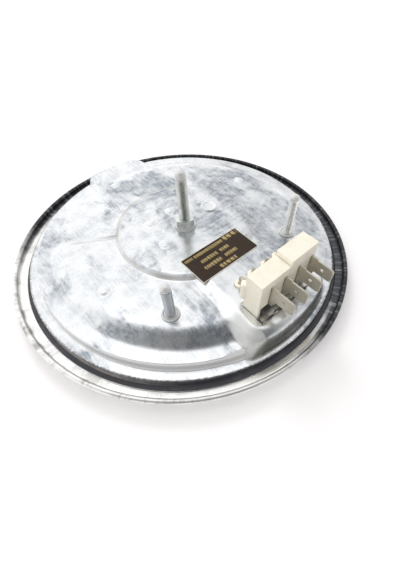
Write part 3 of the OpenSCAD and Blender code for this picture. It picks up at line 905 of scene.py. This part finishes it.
@dataclass
class Cover:
    """The pressed sheet cover: one skin over the casting, with its walls, marks and holes."""

    edge_r: float = 72.4
    edge_z: float = 7.75
    thick: float = 0.8
    plateau_z: float = 15.4
    disc_z: float = 17.0
    disc_r: float = 30.1
    disc_foot_r: float = 32.4
    wall_top_r: float = 54.8
    sector_rise: float = 0.9
    sector_half: float = 60.0
    sector_run: float = 2.0
    seat: tuple[float, float, float, float] = (-11.9, 19.5, -61.8, -50.3)
    seat_depth: float = 0.6
    hole_r: float = 2.35
    hole_y: float = -42.6
    hole_x: Sequence[float] = (-5.3, 2.1, 10.1, 17.5)
    press_r: float = 0.28
    soften: float = 0.95
    platform: Tier = Tier((
        Level(15.2, 21.0, 9.6, 65.6, 5.5, 17.0),
        Level(20.4, 26.2, 14.8, 68.5, 7.5, 15.4),
        Level(23.8, 29.6, 18.2, 71.0, 4.5, 6.95),
    ), 1.0)
    lobe: Tier = Tier((
        Level(16.5, 16.5, 16.5, 68.8, 7.0, 14.95),
        Level(18.1, 18.1, 18.1, 70.4, 8.0, 6.95),
    ), -1.0)

    def section(self) -> Array:
        """Return the plateau's half section, from the middle outwards."""
        return smooth_corners([
            (0.0, 15.4, 0), (self.wall_top_r, 15.4, 2.6), (62.4, 11.8, 1.2), (67.8, 11.8, 0.15),
            (68.4, 7.75, 0.15), (self.edge_r, 7.75, 0)], 6)

    def disc_section(self) -> Array:
        """Return the disc's half section, from the middle outwards."""
        return smooth_corners([(0.0, 17.0, 0), (self.disc_r, 17.0, 0.9), (self.disc_foot_r, 15.4, 0), (36.0, 6.0, 0),
                               (90.0, -1.0, 0)], 6)

    def height(self, x: Array, y: Array) -> Array:
        """Return the height of the cover's outside.

        Args:
            x: Across, in millimetres.
            y: Along, in millimetres.

        Returns:
            Heights in millimetres.
        """
        around = [(0.0, 0.0)]
        for share, turn in ((0.5, 0.0), (1.0, 30.0)):
            around += [(a, b) for a, b, _ in arc((0.0, 0.0), share, turn, turn + 300.0, 5)]
        press = self._press(x, y)
        z = sum(self._sharp(x + dx * press, y + dy * press) for dx, dy in around) / len(around)
        for mark in (*PIPS, DIMPLE):
            d = np.hypot(x - mark.x, y - mark.y)
            z = z + mark.rise * ease((mark.size - d) / (mark.size * 0.75))
        d = np.hypot(x - PAD.x, y - PAD.y)
        z = z + PAD.rise * (ease((PAD.size - d) / 0.9) - 0.55 * ease((PAD.size - 1.5 - d) / 0.9))
        return z - self.seat_depth * self._seat(x, y)

    def _press(self, x: Array, y: Array) -> Array:
        """Return how far the press rounds the corners: little, more on discs and blocks, most in front."""
        r = np.hypot(x, y)
        inner = ease((64.0 - r) / 4.0)
        front = ease((-y - 40.0) / 8.0) * ease((34.0 - np.abs(x - 2.7)) / 4.0) * ease((70.5 - r) / 3.0)
        return self.press_r + self.soften * np.maximum(0.15 * inner, front)

    def _sharp(self, x: Array, y: Array) -> Array:
        """Return the height before the press rounds its corners."""
        r = np.hypot(x, y)
        plateau, disc = self.section(), self.disc_section()
        z = np.interp(r, plateau[:, 0], plateau[:, 1]) + self._sector(x, y, r)
        z = np.maximum(z, np.interp(r, disc[:, 0], disc[:, 1]))
        return np.maximum(z, np.maximum(self.platform.height(x, y), self.lobe.height(x, y)))

    def _sector(self, x: Array, y: Array, r: Array) -> Array:
        """Return how much the back sector stands above the plateau."""
        a = math.radians(self.sector_half)
        side = np.minimum(
            y * math.sin(a) - x * math.cos(a), y * math.sin(a) + x * math.cos(a))
        fall = np.clip((self.wall_top_r - r) / (self.wall_top_r - self.disc_r), 0, 1)
        return self.sector_rise * fall * ease(side / self.sector_run + 0.5)

    def _seat(self, x: Array, y: Array) -> Array:
        """Return 1 on the blocks' seat and 0 off it."""
        x0, x1, y0, y1 = self.seat
        inside = np.minimum(np.minimum(x - x0, x1 - x), np.minimum(y - y0, y1 - y))
        return ease(inside / 0.5 + 0.5)

    def _points(self) -> tuple[Array, list[list[int]]]:
        """Choose the skin's points, dense where it bends.

        Returns:
            Points, n by 2, and the loops of the holes as lists of point numbers.
        """
        kept: list[Point2] = []
        loops: list[list[int]] = []

        def add(points: Iterable[Point2], gap: float) -> None:
            tree = kdtree.KDTree(len(kept))
            for i, (px, py) in enumerate(kept):
                tree.insert((px, py, 0), i)
            tree.balance()
            fresh = []
            for px, py in points:
                if math.hypot(px, py) > self.edge_r - 0.45:
                    continue
                found = tree.find((px, py, 0)) if kept else (None, None, 9.9)
                if found[2] > gap:
                    fresh.append((float(px), float(py)))
            kept.extend(fresh)

        def ring(cx: float, cy: float, r: float, step: float) -> list[Point2]:
            n = max(12, int(2 * math.pi * r / step))
            return [(cx + r * math.cos(t), cy + r * math.sin(t)) for t in np.arange(n) * 2 * math.pi / n]

        for hx in self.hole_x:
            start = len(kept)
            kept.extend(ring(hx, self.hole_y, self.hole_r, 0.4))
            loops.append(list(range(start, len(kept))))
        for hx in self.hole_x:
            add(ring(hx, self.hole_y, self.hole_r + 0.5, 0.5), 0.3)
        for mark in (*PIPS, DIMPLE, PAD):
            for k in np.linspace(0.12, 1.08, 9):
                add(ring(mark.x, mark.y, mark.size * k, 0.5), 0.22)
        for line in (*self.platform.lines(), *self.lobe.lines()):
            add(self._walk(line, 0.8), 0.24)
        for r in (*np.arange(66.9, 69.3, 0.13), *np.arange(29.9, 32.6, 0.15)):
            add(ring(0.0, 0.0, r, 0.75), 0.11)
        x0, x1, y0, y1 = self.seat
        for d in (-0.25, 0.0, 0.25):
            along = np.arange(x0, x1, 0.5)
            up = np.arange(y0, y1, 0.5)
            add([(a, y0 - d) for a in along] + [(a, y1 + d) for a in along]
                + [(x0 - d, b) for b in up] + [(x1 + d, b) for b in up], 0.2)
        a = math.radians(90 - self.sector_half)
        for s in (-1, 1):
            for d in np.linspace(-0.8, 0.8, 9):
                add([(s * (t * math.cos(a) + d * math.sin(a)), t * math.sin(a) - d * math.cos(a))
                     for t in np.arange(29.0, 55.5, 0.7)], 0.14)
        radii = np.unique(np.round(np.concatenate([
            self.section()[:, 0], self.disc_section()[:, 0], np.arange(2.0, 72.0, 1.5)]), 3))
        last = -1.0
        for r in radii:
            if r - last >= 0.12 and 1.0 < r < self.edge_r - 0.45:
                add(ring(0.0, 0.0, r, 1.1), 0.42)
                last = r
        edge = ring(0.0, 0.0, self.edge_r - 0.5, 0.6)
        kept.extend(edge)
        return np.array(kept), loops

    @staticmethod
    def _walk(line: Array, step: float) -> list[Point2]:
        """Return points at equal steps along a line."""
        length = np.concatenate([[0], np.cumsum(np.linalg.norm(np.diff(line, axis=0), axis=1))])
        at = np.arange(0, length[-1], step)
        return list(zip(np.interp(at, length, line[:, 0]), np.interp(at, length, line[:, 1])))

    def build(self) -> bpy.types.Object:
        """Build the cover and hide its plain solid.

        Returns:
            The cover.
        """
        points, loops = self._points()
        edges = [(loop[i], loop[(i + 1) % len(loop)]) for loop in loops for i in range(len(loop))]
        verts, _, faces, *_ = delaunay_2d_cdt([Vector(p) for p in points.tolist()], edges, [], 0, 1e-5)
        xy = np.array([v[:] for v in verts])
        tri = np.array([f for f in faces if len(f) == 3])
        mid = xy[tri].mean(axis=1)
        keep = np.ones(len(tri), bool)
        for hx in self.hole_x:
            keep &= np.hypot(mid[:, 0] - hx, mid[:, 1] - self.hole_y) > self.hole_r - 0.02
        tri = tri[keep]
        area = np.cross(xy[tri[:, 1]] - xy[tri[:, 0]], xy[tri[:, 2]] - xy[tri[:, 0]])
        tri[area < 0] = tri[area < 0][:, ::-1]
        z = self.height(xy[:, 0], xy[:, 1])
        skin = np.column_stack([xy, z])
        parts = [(skin, tri.tolist()), self._edge(), *[self._hole(hx) for hx in self.hole_x]]
        verts3, faces3 = join_parts(parts)
        piece = make_object("pressed_cover", verts3, faces3, ZINC, Slot.ZINC)
        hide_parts("bottom_cover")
        log.info("pressed_cover: %d faces", len(faces3))
        return piece

    def _edge(self) -> tuple[Array, list]:
        """Return the cover's cut edge, with its fine shear marks."""
        teeth = 380
        segments = teeth * 4
        z = self.edge_z
        path = np.array([(self.edge_r - 0.5, z), (self.edge_r - 0.12, z), (self.edge_r, z - 0.12),
                         (self.edge_r, z - self.thick + 0.02), (self.edge_r - 1.5, z - self.thick + 0.02)])
        wave = 0.10 * (0.5 + 0.5 * np.cos(np.arange(segments) * 2 * math.pi / 4))
        rng = np.random.default_rng(7)
        wave *= np.repeat(rng.uniform(0.2, 1.0, teeth), 4)
        wobble = np.zeros((len(path), segments))
        wobble[2:4] = -wave
        wobble[1] = -wave * 0.6
        verts, faces = turned(path, segments, False, wobble)
        return verts, [f[::-1] for f in faces]

    def _hole(self, hx: float) -> tuple[Array, list]:
        """Return the short wall inside a bead's hole."""
        n = 36
        turn = np.arange(n) * 2 * math.pi / n
        x, y = hx + self.hole_r * np.cos(turn), self.hole_y + self.hole_r * np.sin(turn)
        z = self.height(x, y)
        verts = np.concatenate([np.column_stack([x, y, z]), np.column_stack([x, y, z - self.thick])])
        return verts, [(j, (j + 1) % n, n + (j + 1) % n, n + j) for j in range(n)]


# ---------------------------------------------------------------- trim ring and casting


@dataclass
class TrimRing:
    """The polished ring round the plate: a collar, a sloping trough and a rolled lip."""

    inner_r: float = 74.45
    outer_r: float = 80.0
    foot_z: float = 1.9
    seat_z: float = 4.1
    sheet: float = 0.7
    lip_r: float = 1.05
    lip_z: float = 6.05
    segments: int = 384

    def section(self) -> Array:
        """Return the closed half section."""
        cx = self.outer_r - self.lip_r
        inner, s = self.inner_r, self.sheet
        top = [(inner, self.foot_z, 0), (inner, self.seat_z + 0.2, 0.35), (cx - 1.75, 4.85, 0.3),
               (cx - 1.05, 4.85, 0.25), (cx - 0.98, 5.35, 0.25)]
        lip = arc((cx, self.lip_z), self.lip_r, 205, -75, 18)
        under = [(cx - 0.1, 4.6, 0.2), (cx - 1.2, 4.0, 0.4), (inner + s, self.seat_z - s, 0.3), (inner + s, self.foot_z, 0)]
        return smooth_corners([*top, *lip, *under], 5)

    def build(self) -> bpy.types.Object:
        """Build the ring and hide its plain solid."""
        verts, faces = turned(self.section(), self.segments, closed=True)
        piece = make_object("polished_ring", verts, [f[::-1] for f in faces], STAINLESS, Slot.STAINLESS)
        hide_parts("trim_ring")
        log.info("polished_ring: %d faces", len(faces))
        return piece


# ---------------------------------------------------------------- fasteners


@dataclass
class Thread:
    """A threaded length with its grooves cut as a true helix."""

    radius: float
    pitch: float
    depth: float
    low: float
    high: float
    around: int = 40
    per_turn: int = 8

    def build(self) -> tuple[Array, list]:
        """Return the thread's skin about the upright axis, thread crests at its radius."""
        rows = int((self.high - self.low) / self.pitch * self.per_turn) + 1
        z = np.linspace(self.low, self.high, rows)
        path = np.column_stack([np.full(rows, self.radius), z])
        turn = np.arange(self.around) / self.around
        phase = (z[:, None] / self.pitch - turn[None, :]) % 1.0
        groove = np.clip(1.35 * np.abs(2 * phase - 1) - 0.15, 0, 1)
        ends = np.clip(np.minimum(z - self.low, self.high - z) / self.pitch, 0, 1)[:, None]
        return turned(path, self.around, False, -self.depth * (groove * ends + (1 - ends) * 0.5))


@dataclass
class Stud:
    """The centre stud with its rolled, domed end, its nut and its washer."""

    radius: float = 2.5
    pitch: float = 0.8
    foot_z: float = 16.4
    nut_top_z: float = 21.9
    thread_top: float = 42.4
    top_z: float = 45.75

    def build(self) -> None:
        """Build the stud, dress the nut and the washer."""
        thread = Thread(self.radius, self.pitch, 0.2, self.foot_z, self.thread_top).build()
        rod = make_object("threaded_stud", *thread, STUD, Slot.PLATED)
        t = self.top_z
        dome = smooth_corners([
            (2.4, self.thread_top - 0.02, 0), (2.12, self.thread_top + 0.15, 0.1),
            (2.15, self.thread_top + 0.35, 0.1), (2.28, self.thread_top + 0.6, 0.2),
            (2.25, t - 0.9, 0.9), (1.2, t - 0.02, 0.5), (0.02, t, 0)], 6)
        end = make_object("stud_end", *turned(dome, 40), DOME, Slot.PLATED)
        end.parent = rod
        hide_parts("centre_stud")
        for name, finish in (("stud_nut", NUT), ("stud_washer", DOME)):
            dress(name, finish)
            sharpen(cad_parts[name], 0.12)
        log.info("threaded_stud: %d faces", len(thread[1]))


@dataclass
class SidePin:
    """A threaded side pin with a pressed collar and a rounded end."""

    name: str
    node: str
    x: float
    top_z: float
    finish: Finish
    y: float = -34.436
    plateau_z: float = 15.4
    radius: float = 2.0
    collar_r: float = 3.8
    knob: float = 0.0

    def build(self) -> None:
        """Build the pin and hide its plain solid."""
        z, t = self.plateau_z, self.top_z
        thread = Thread(self.radius, 0.7, 0.16, z + 0.3, t - 2.2, 32).build()
        end = smooth_corners([
            (1.92, t - 2.22, 0), (1.72, t - 2.0, 0.12), (1.72, t - 1.7, 0.12), (1.86 + self.knob, t - 1.45, 0.2),
            (1.88 + self.knob, t - 0.8, 0.5), (1.0, t - 0.02, 0.4), (0.02, t, 0)], 5)
        collar = smooth_corners([
            (self.collar_r - 0.35, z - 0.02, 0), (self.collar_r, z + 0.35, 0.25), (self.collar_r - 0.25, z + 0.9, 0.3),
            (self.collar_r - 0.9, z + 0.85, 0.3), (2.6, z + 0.45, 0.5), (1.9, z + 0.55, 0)], 5)
        foot = np.array([self.x, self.y, 0.0])
        verts, faces = thread
        pin = make_object(self.name, verts + foot, faces, self.finish, Slot.PLATED)
        for part, (part_verts, part_faces) in (("end", turned(end, 32)), ("collar", turned(collar, 48))):
            child = make_object(f"{self.name}_{part}", part_verts + foot, part_faces, DOME, Slot.PLATED)
            child.parent = pin
        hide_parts(self.node)
        log.info("%s: %d faces", self.name, len(faces))


def dress(node: str, finish: Finish) -> None:
    """Give a kept node its finish.

    Args:
        node: The node's name.
        finish: The finish.
    """
    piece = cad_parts[node]
    piece.data.materials.clear()
    piece.data.materials.append(finish.material())


# ---------------------------------------------------------------- terminals


@dataclass
class CeramicBlock:
    """A ceramic block, open under an arch and slotted for its tabs."""

    name: str
    node: str
    left: float
    height: float
    finish: Finish
    ear: bool = False
    width: float = 15.2
    front: float = -58.4
    back: float = -50.7
    foot: float = 16.4
    wall: float = 1.4
    arch: float = 4.6
    tabs: tuple[float, float] = (6.2, 13.6)

    def build(self) -> None:
        """Build the block and hide its plain solid."""
        x0, x1, z0 = self.left, self.left + self.width, self.foot
        z1 = z0 + self.height
        cuts = [(x0 + self.wall, x1 - self.wall, self.front - 1, self.back - self.wall, z0 - 1, z0 + self.arch)]
        for offset in self.tabs:
            x = x0 + offset
            cuts.append((x - 1.0, x + 0.5, self.front - 1, self.front + 1.2, 20.3, 31.1))
            cuts.append((x - 0.5, x + 0.5, self.front - 1, -52.3, 20.3, 31.1))
            cuts.append((x - 0.8, x + 0.8, -52.6, self.back + 1, z0 - 1, 23.4))
        verts, faces = self._cells((x0, x1, self.front, self.back, z0, z1), cuts)
        block = make_object(self.name, verts, faces, self.finish, Slot.CERAMIC)
        self._clean(block)
        sharpen(block, 0.32, 3)
        if self.ear:
            path = smooth_corners([(0.02, 22.2, 0), (1.6, 22.2, 0.6), (1.6, 30.2, 0.9), (0.02, 30.2, 0)], 5)
            ear_v, ear_f = turned(path, 28)
            ear = make_object("block_ear", ear_v + np.array([x0 + 0.5, self.back + 0.5, 0]), ear_f, CERAMIC, Slot.CERAMIC)
            ear.parent = block
        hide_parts(self.node)
        log.info("%s: %d faces", self.name, len(block.data.polygons))

    @staticmethod
    def _cells(box: tuple[float, ...], cuts: Sequence[tuple[float, ...]]) -> tuple[Array, list]:
        """Cut boxes out of a box, on the grid of all their faces.

        Args:
            box: The block's x, y and z limits.
            cuts: The limits of what is cut away.

        Returns:
            Vertices and outward faces.
        """
        grids = []
        for axis in range(3):
            lo, hi = box[2 * axis], box[2 * axis + 1]
            marks = {lo, hi} | {v for c in cuts for v in c[2 * axis:2 * axis + 2] if lo < v < hi}
            grids.append(sorted(marks))
        shape = [len(g) - 1 for g in grids]
        solid = np.ones([n + 2 for n in shape], bool)
        solid[[0, -1], :, :] = solid[:, [0, -1], :] = solid[:, :, [0, -1]] = False
        for i in range(shape[0]):
            for j in range(shape[1]):
                for k in range(shape[2]):
                    m = [(grids[a][n] + grids[a][n + 1]) / 2 for a, n in enumerate((i, j, k))]
                    if any(all(c[2 * a] < m[a] < c[2 * a + 1] for a in range(3)) for c in cuts):
                        solid[i + 1, j + 1, k + 1] = False
        index: dict[tuple[int, int, int], int] = {}
        verts: list[tuple[float, float, float]] = []
        faces: list[list[int]] = []

        def corner(key: tuple[int, int, int]) -> int:
            if key not in index:
                index[key] = len(verts)
                verts.append(tuple(grids[a][key[a]] for a in range(3)))
            return index[key]

        for i, j, k in np.argwhere(solid):
            cell = (int(i) - 1, int(j) - 1, int(k) - 1)
            for axis in range(3):
                for side in (0, 1):
                    step = [0, 0, 0]
                    step[axis] = 1 if side else -1
                    if solid[i + step[0], j + step[1], k + step[2]]:
                        continue
                    u, v = (axis + 1) % 3, (axis + 2) % 3
                    quad = []
                    for du, dv in ((0, 0), (1, 0), (1, 1), (0, 1)):
                        key = list(cell)
                        key[axis] += side
                        key[u] += du
                        key[v] += dv
                        quad.append(corner(tuple(key)))
                    faces.append(quad if side else quad[::-1])
        return np.array(verts), faces

    @staticmethod
    def _clean(block: bpy.types.Object) -> None:
        """Merge the flat faces of a block."""
        import bmesh

        bm = bmesh.new()
        bm.from_mesh(block.data)
        bmesh.ops.dissolve_limit(bm, angle_limit=0.01, verts=bm.verts, edges=bm.edges)
        bm.to_mesh(block.data)
        bm.free()
        block.data.shade_smooth()


@dataclass
class SpadeTab:
    """A spade tab: a root in the ceramic, a shouldered blade and a pierced hole."""

    number: int
    x: float
    thick: float = 0.8
    hole: tuple[float, float] = (-64.28, 27.25)
    hole_r: float = 0.8

    def outline(self) -> list[Point2]:
        """Return the tab's outline as points (y, z)."""
        return [
            (-52.4, 20.4), (-59.8, 20.4), (-59.8, 22.0), (-60.6, 22.0), (-61.2, 24.1), (-67.7, 24.1), (-68.9, 24.7),
            (-68.9, 29.8), (-67.7, 30.4), (-61.2, 30.4), (-61.2, 31.0), (-52.4, 31.0),
        ]

    def build(self) -> None:
        """Build the tab and hide its plain solid."""
        turn = np.radians(np.arange(0, 360, 15))
        hole = [(self.hole[0] + self.hole_r * math.cos(t), self.hole[1] + self.hole_r * math.sin(t)) for t in turn]
        mesh = stamped_plate(f"spade_tab_{self.number}", self.outline(), [hole], self.thick, 0.09)
        mesh.transform(Matrix(((0, 0, 1, self.x), (1, 0, 0, 0), (0, 1, 0, 0), (0, 0, 0, 1))))
        mesh.transform(Matrix.Scale(MM, 4))
        mesh.shade_smooth()
        mesh.set_sharp_from_angle(angle=math.radians(30))
        tab = settle(bpy.data.objects.new(mesh.name, mesh), NICKEL)
        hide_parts(f"tab_{self.number}")
        log.info("%s: %d faces", tab.name, len(mesh.polygons))


@dataclass
class Terminals:
    """The two blocks with their tabs, leads and beads."""

    tab_x: Sequence[float] = (-5.3, 2.1, 10.1, 17.5)

    def build(self) -> None:
        """Build every piece of the terminals."""
        CeramicBlock("low_block", "terminal_block_low", -11.5, 18.6, LOW_CERAMIC, True).build()
        CeramicBlock("high_block", "terminal_block_high", 3.9, 20.9, HIGH_CERAMIC).build()
        for number, x in enumerate(self.tab_x, 1):
            SpadeTab(number, x).build()
            dress(f"lead_{number}", NICKEL)
            dress(f"bead_{number}", CERAMIC)


# ---------------------------------------------------------------- name plate


@dataclass
class NamePlate:
    """A dark foil plate with rows of plain gold dashes in place of print."""

    width: float = 32.4
    depth: float = 15.7
    low: float = -32.65
    z: float = 17.0
    thick: float = 0.3
    edge: float = 0.22
    rows: Sequence[tuple[float, float, float, float, float]] = (
        (-19.1, 1.9, -15.2, -11.2, 0.8), (-19.2, 2.1, -10.3, 6.2, 0.8), (-19.0, 2.8, 7.0, 15.2, 1.9),
        (-23.4, 2.2, -9.6, -0.4, 1.1), (-23.4, 2.2, 1.2, 6.4, 1.1), (-27.1, 2.3, -10.6, -1.2, 1.0),
        (-27.1, 2.3, 1.0, 8.2, 1.0), (-30.6, 2.2, -4.8, 4.4, 1.5),
    )

    def build(self) -> None:
        """Build the plate, its face and its dashes, and hide the plain solid."""
        w, y0, y1 = self.width / 2, self.low, self.low + self.depth
        base = self._slab("name_plate_sheet", -w, w, y0, y1, self.z, self.z + self.thick, FOIL_EDGE)
        e, top = self.edge, self.z + self.thick
        face = self._slab("name_plate_face", -w + e, w - e, y0 + e, y1 - e, top - 0.05, top + 0.03, FOIL)
        face.parent = base
        rng = np.random.default_rng(3)
        parts = []
        for y, tall, start, end, size in self.rows:
            x = start
            while x < end - 0.2:
                long = min(size * rng.uniform(0.55, 1.25), end - x)
                h = tall * rng.uniform(0.8, 1.0) / 2
                parts.append(self._box(x, x + long, y - h, y + h, top + 0.02, top + 0.045))
                x += long + size * rng.uniform(0.22, 0.4)
        dashes = make_object("name_plate_dashes", *join_parts(parts), GOLD, Slot.FOIL)
        dashes.parent = base
        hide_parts("name_plate")
        log.info("name_plate_sheet: %d dashes", len(parts))

    @staticmethod
    def _box(x0: float, x1: float, y0: float, y1: float, z0: float, z1: float) -> tuple[Array, list]:
        """Return a box's vertices and outward faces."""
        verts = np.array([(x, y, z) for z in (z0, z1) for y in (y0, y1) for x in (x0, x1)])
        faces = [(0, 2, 3, 1), (4, 5, 7, 6), (0, 1, 5, 4), (1, 3, 7, 5), (3, 2, 6, 7), (2, 0, 4, 6)]
        return verts, faces

    def _slab(self, name: str, x0: float, x1: float, y0: float, y1: float, z0: float, z1: float,
              finish: Finish) -> bpy.types.Object:
        """Make a thin plate with slightly rounded corners."""
        r = 0.35
        corners = [(x1 - r, y1 - r, 0), (x0 + r, y1 - r, 90), (x0 + r, y0 + r, 180), (x1 - r, y0 + r, 270)]
        loop = [(x, y) for cx, cy, a in corners for x, y, _ in arc((cx, cy), r, a, a + 90, 4)]
        n = len(loop)
        verts = [(x, y, z) for z in (z0, z1) for x, y in loop]
        faces = [tuple(range(n - 1, -1, -1)), tuple(range(n, 2 * n))]
        faces += [(i, (i + 1) % n, n + (i + 1) % n, n + i) for i in range(n)]
        slab = make_object(name, np.array(verts), faces, finish, Slot.FOIL)
        slab.data.shade_flat()
        return slab


# ---------------------------------------------------------------- heater inside


@dataclass
class Heater:
    """The kept nodes: the iron casting and what it holds under the cover."""

    finishes: dict[str, Finish] = field(default_factory=lambda: {
        "plate_casting": IRON,
        "insulating_sheet": BOARD,
        "packing_outer": PACKING, "packing_middle": PACKING, "packing_inner": PACKING,
        "coil_outer": WIRE, "coil_middle": WIRE, "coil_inner": WIRE,
    })

    def build(self) -> None:
        """Dress every kept node."""
        for node, finish in self.finishes.items():
            dress(node, finish)
        sharpen(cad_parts["plate_casting"], 0.15)


# ---------------------------------------------------------------- studio


@dataclass
class Studio:
    """The photograph's camera, a white floor and soft light."""

    place: tuple[float, float, float] = (-63.043, -92.901, 117.540)
    ahead: tuple[float, float, float] = (0.43251, 0.41814, -0.79881)
    right: tuple[float, float, float] = (0.72809, -0.68454, 0.03589)
    focal_px: float = 306.43
    centre_px: tuple[float, float] = (230.0, 285.0)
    frame_px: tuple[int, int] = (400, 570)

    def camera(self) -> None:
        """Set the camera."""
        data = bpy.data.cameras.new("camera")
        data.sensor_width = 36.0
        long_side = max(self.frame_px)
        data.lens = self.focal_px / long_side * data.sensor_width
        data.shift_x = -(self.centre_px[0] - self.frame_px[0] / 2) / long_side
        data.shift_y = (self.centre_px[1] - self.frame_px[1] / 2) / long_side
        data.clip_start, data.clip_end = 0.005, 20.0
        camera = bpy.data.objects.new("camera", data)
        ahead, right = Vector(self.ahead).normalized(), Vector(self.right).normalized()
        up = right.cross(ahead).normalized()
        turn = Matrix((right, up, -ahead)).transposed().to_4x4()
        camera.matrix_world = Matrix.Translation(Vector(self.place) * MM) @ turn
        bpy.context.scene.collection.objects.link(camera)
        bpy.context.scene.camera = camera

    def floor(self) -> None:
        """Lay the floor."""
        mesh = bpy.data.meshes.new("floor")
        s = 9.0
        mesh.from_pydata([(-s, -s, 0), (s, -s, 0), (s, s, 0), (-s, s, 0)], [], [(0, 1, 2, 3)])
        floor = bpy.data.objects.new("floor", mesh)
        mesh.materials.append(FLOOR.material())
        bpy.context.scene.collection.objects.link(floor)

    def world(self) -> None:
        """Set a white surrounding for the eye, and a softly shaded one for light and gloss."""
        world = bpy.data.worlds.new("studio")
        world.use_nodes = True
        bpy.context.scene.world = world
        g = Graph(world.node_tree)
        way = g.node("ShaderNodeTexCoord", {}, {}, "Generated")
        x, y, z = g.axes(way)
        back = self.place
        size = math.sqrt(sum(v * v for v in back))
        toward = x * (back[0] / size) + y * (back[1] / size) + z * (back[2] / size)
        dim = g.span(toward, 0.46, 0.86, 1.0, 0.15)
        side = g.span(x * self.right[0] + y * self.right[1], -0.35, 0.20, 1.18, 0.90)
        front = g.span(y, -0.95, -0.05, 0.85, 1.0)
        shade = dim * front * side * (g.span(z, 0.25, 0.70, 1.05, 0.98) + g.span(z, 0.78, 0.93, 0.0, 0.45))
        eye = g.node("ShaderNodeLightPath", {}, {}, "Is Camera Ray")
        strength = eye + (1.0 - eye) * shade
        glow = g.node("ShaderNodeBackground", {}, {"Color": (1.0, 1.0, 1.0, 1.0), "Strength": strength})
        g.node("ShaderNodeOutputWorld", {}, {"Surface": glow})

    def lamp(self, name: str, place: Point2 | tuple[float, float, float], size: float, power: float) -> None:
        """Add a soft area lamp that faces the plate and doesn't show in its metal."""
        data = bpy.data.lights.new(name, "AREA")
        data.shape = "DISK"
        data.size = size
        data.energy = power
        lamp = bpy.data.objects.new(name, data)
        lamp.visible_glossy = False
        lamp.location = Vector(place)
        lamp.rotation_mode = "QUATERNION"
        lamp.rotation_quaternion = (-lamp.location).to_track_quat("-Z", "Y")
        bpy.context.scene.collection.objects.link(lamp)

    def build(self) -> None:
        """Set the whole studio."""
        self.camera()
        self.floor()
        self.world()
        self.lamp("key", (0.28, 0.80, 0.80), 0.4, 4.1)
        self.lamp("fill", (-0.72, -0.42, 0.60), 1.0, 2.6)
        scene = bpy.context.scene
        scene.view_settings.view_transform = "Standard"


def main() -> None:
    """Build the hotplate and its studio, logging the size of each new piece."""
    logging.basicConfig(level=logging.INFO, format="%(message)s")
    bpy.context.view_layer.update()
    Studio().build()
    Heater().build()
    TrimRing().build()
    Cover().build()
    Stud().build()
    SidePin("pin_left", "side_pin_left", -34.436, 33.4, PIN).build()
    SidePin("pin_right", "side_pin_right", 34.436, 37.0, PLATED, knob=0.25).build()
    Terminals().build()
    NamePlate().build()


if __name__ == "__main__":
    main()
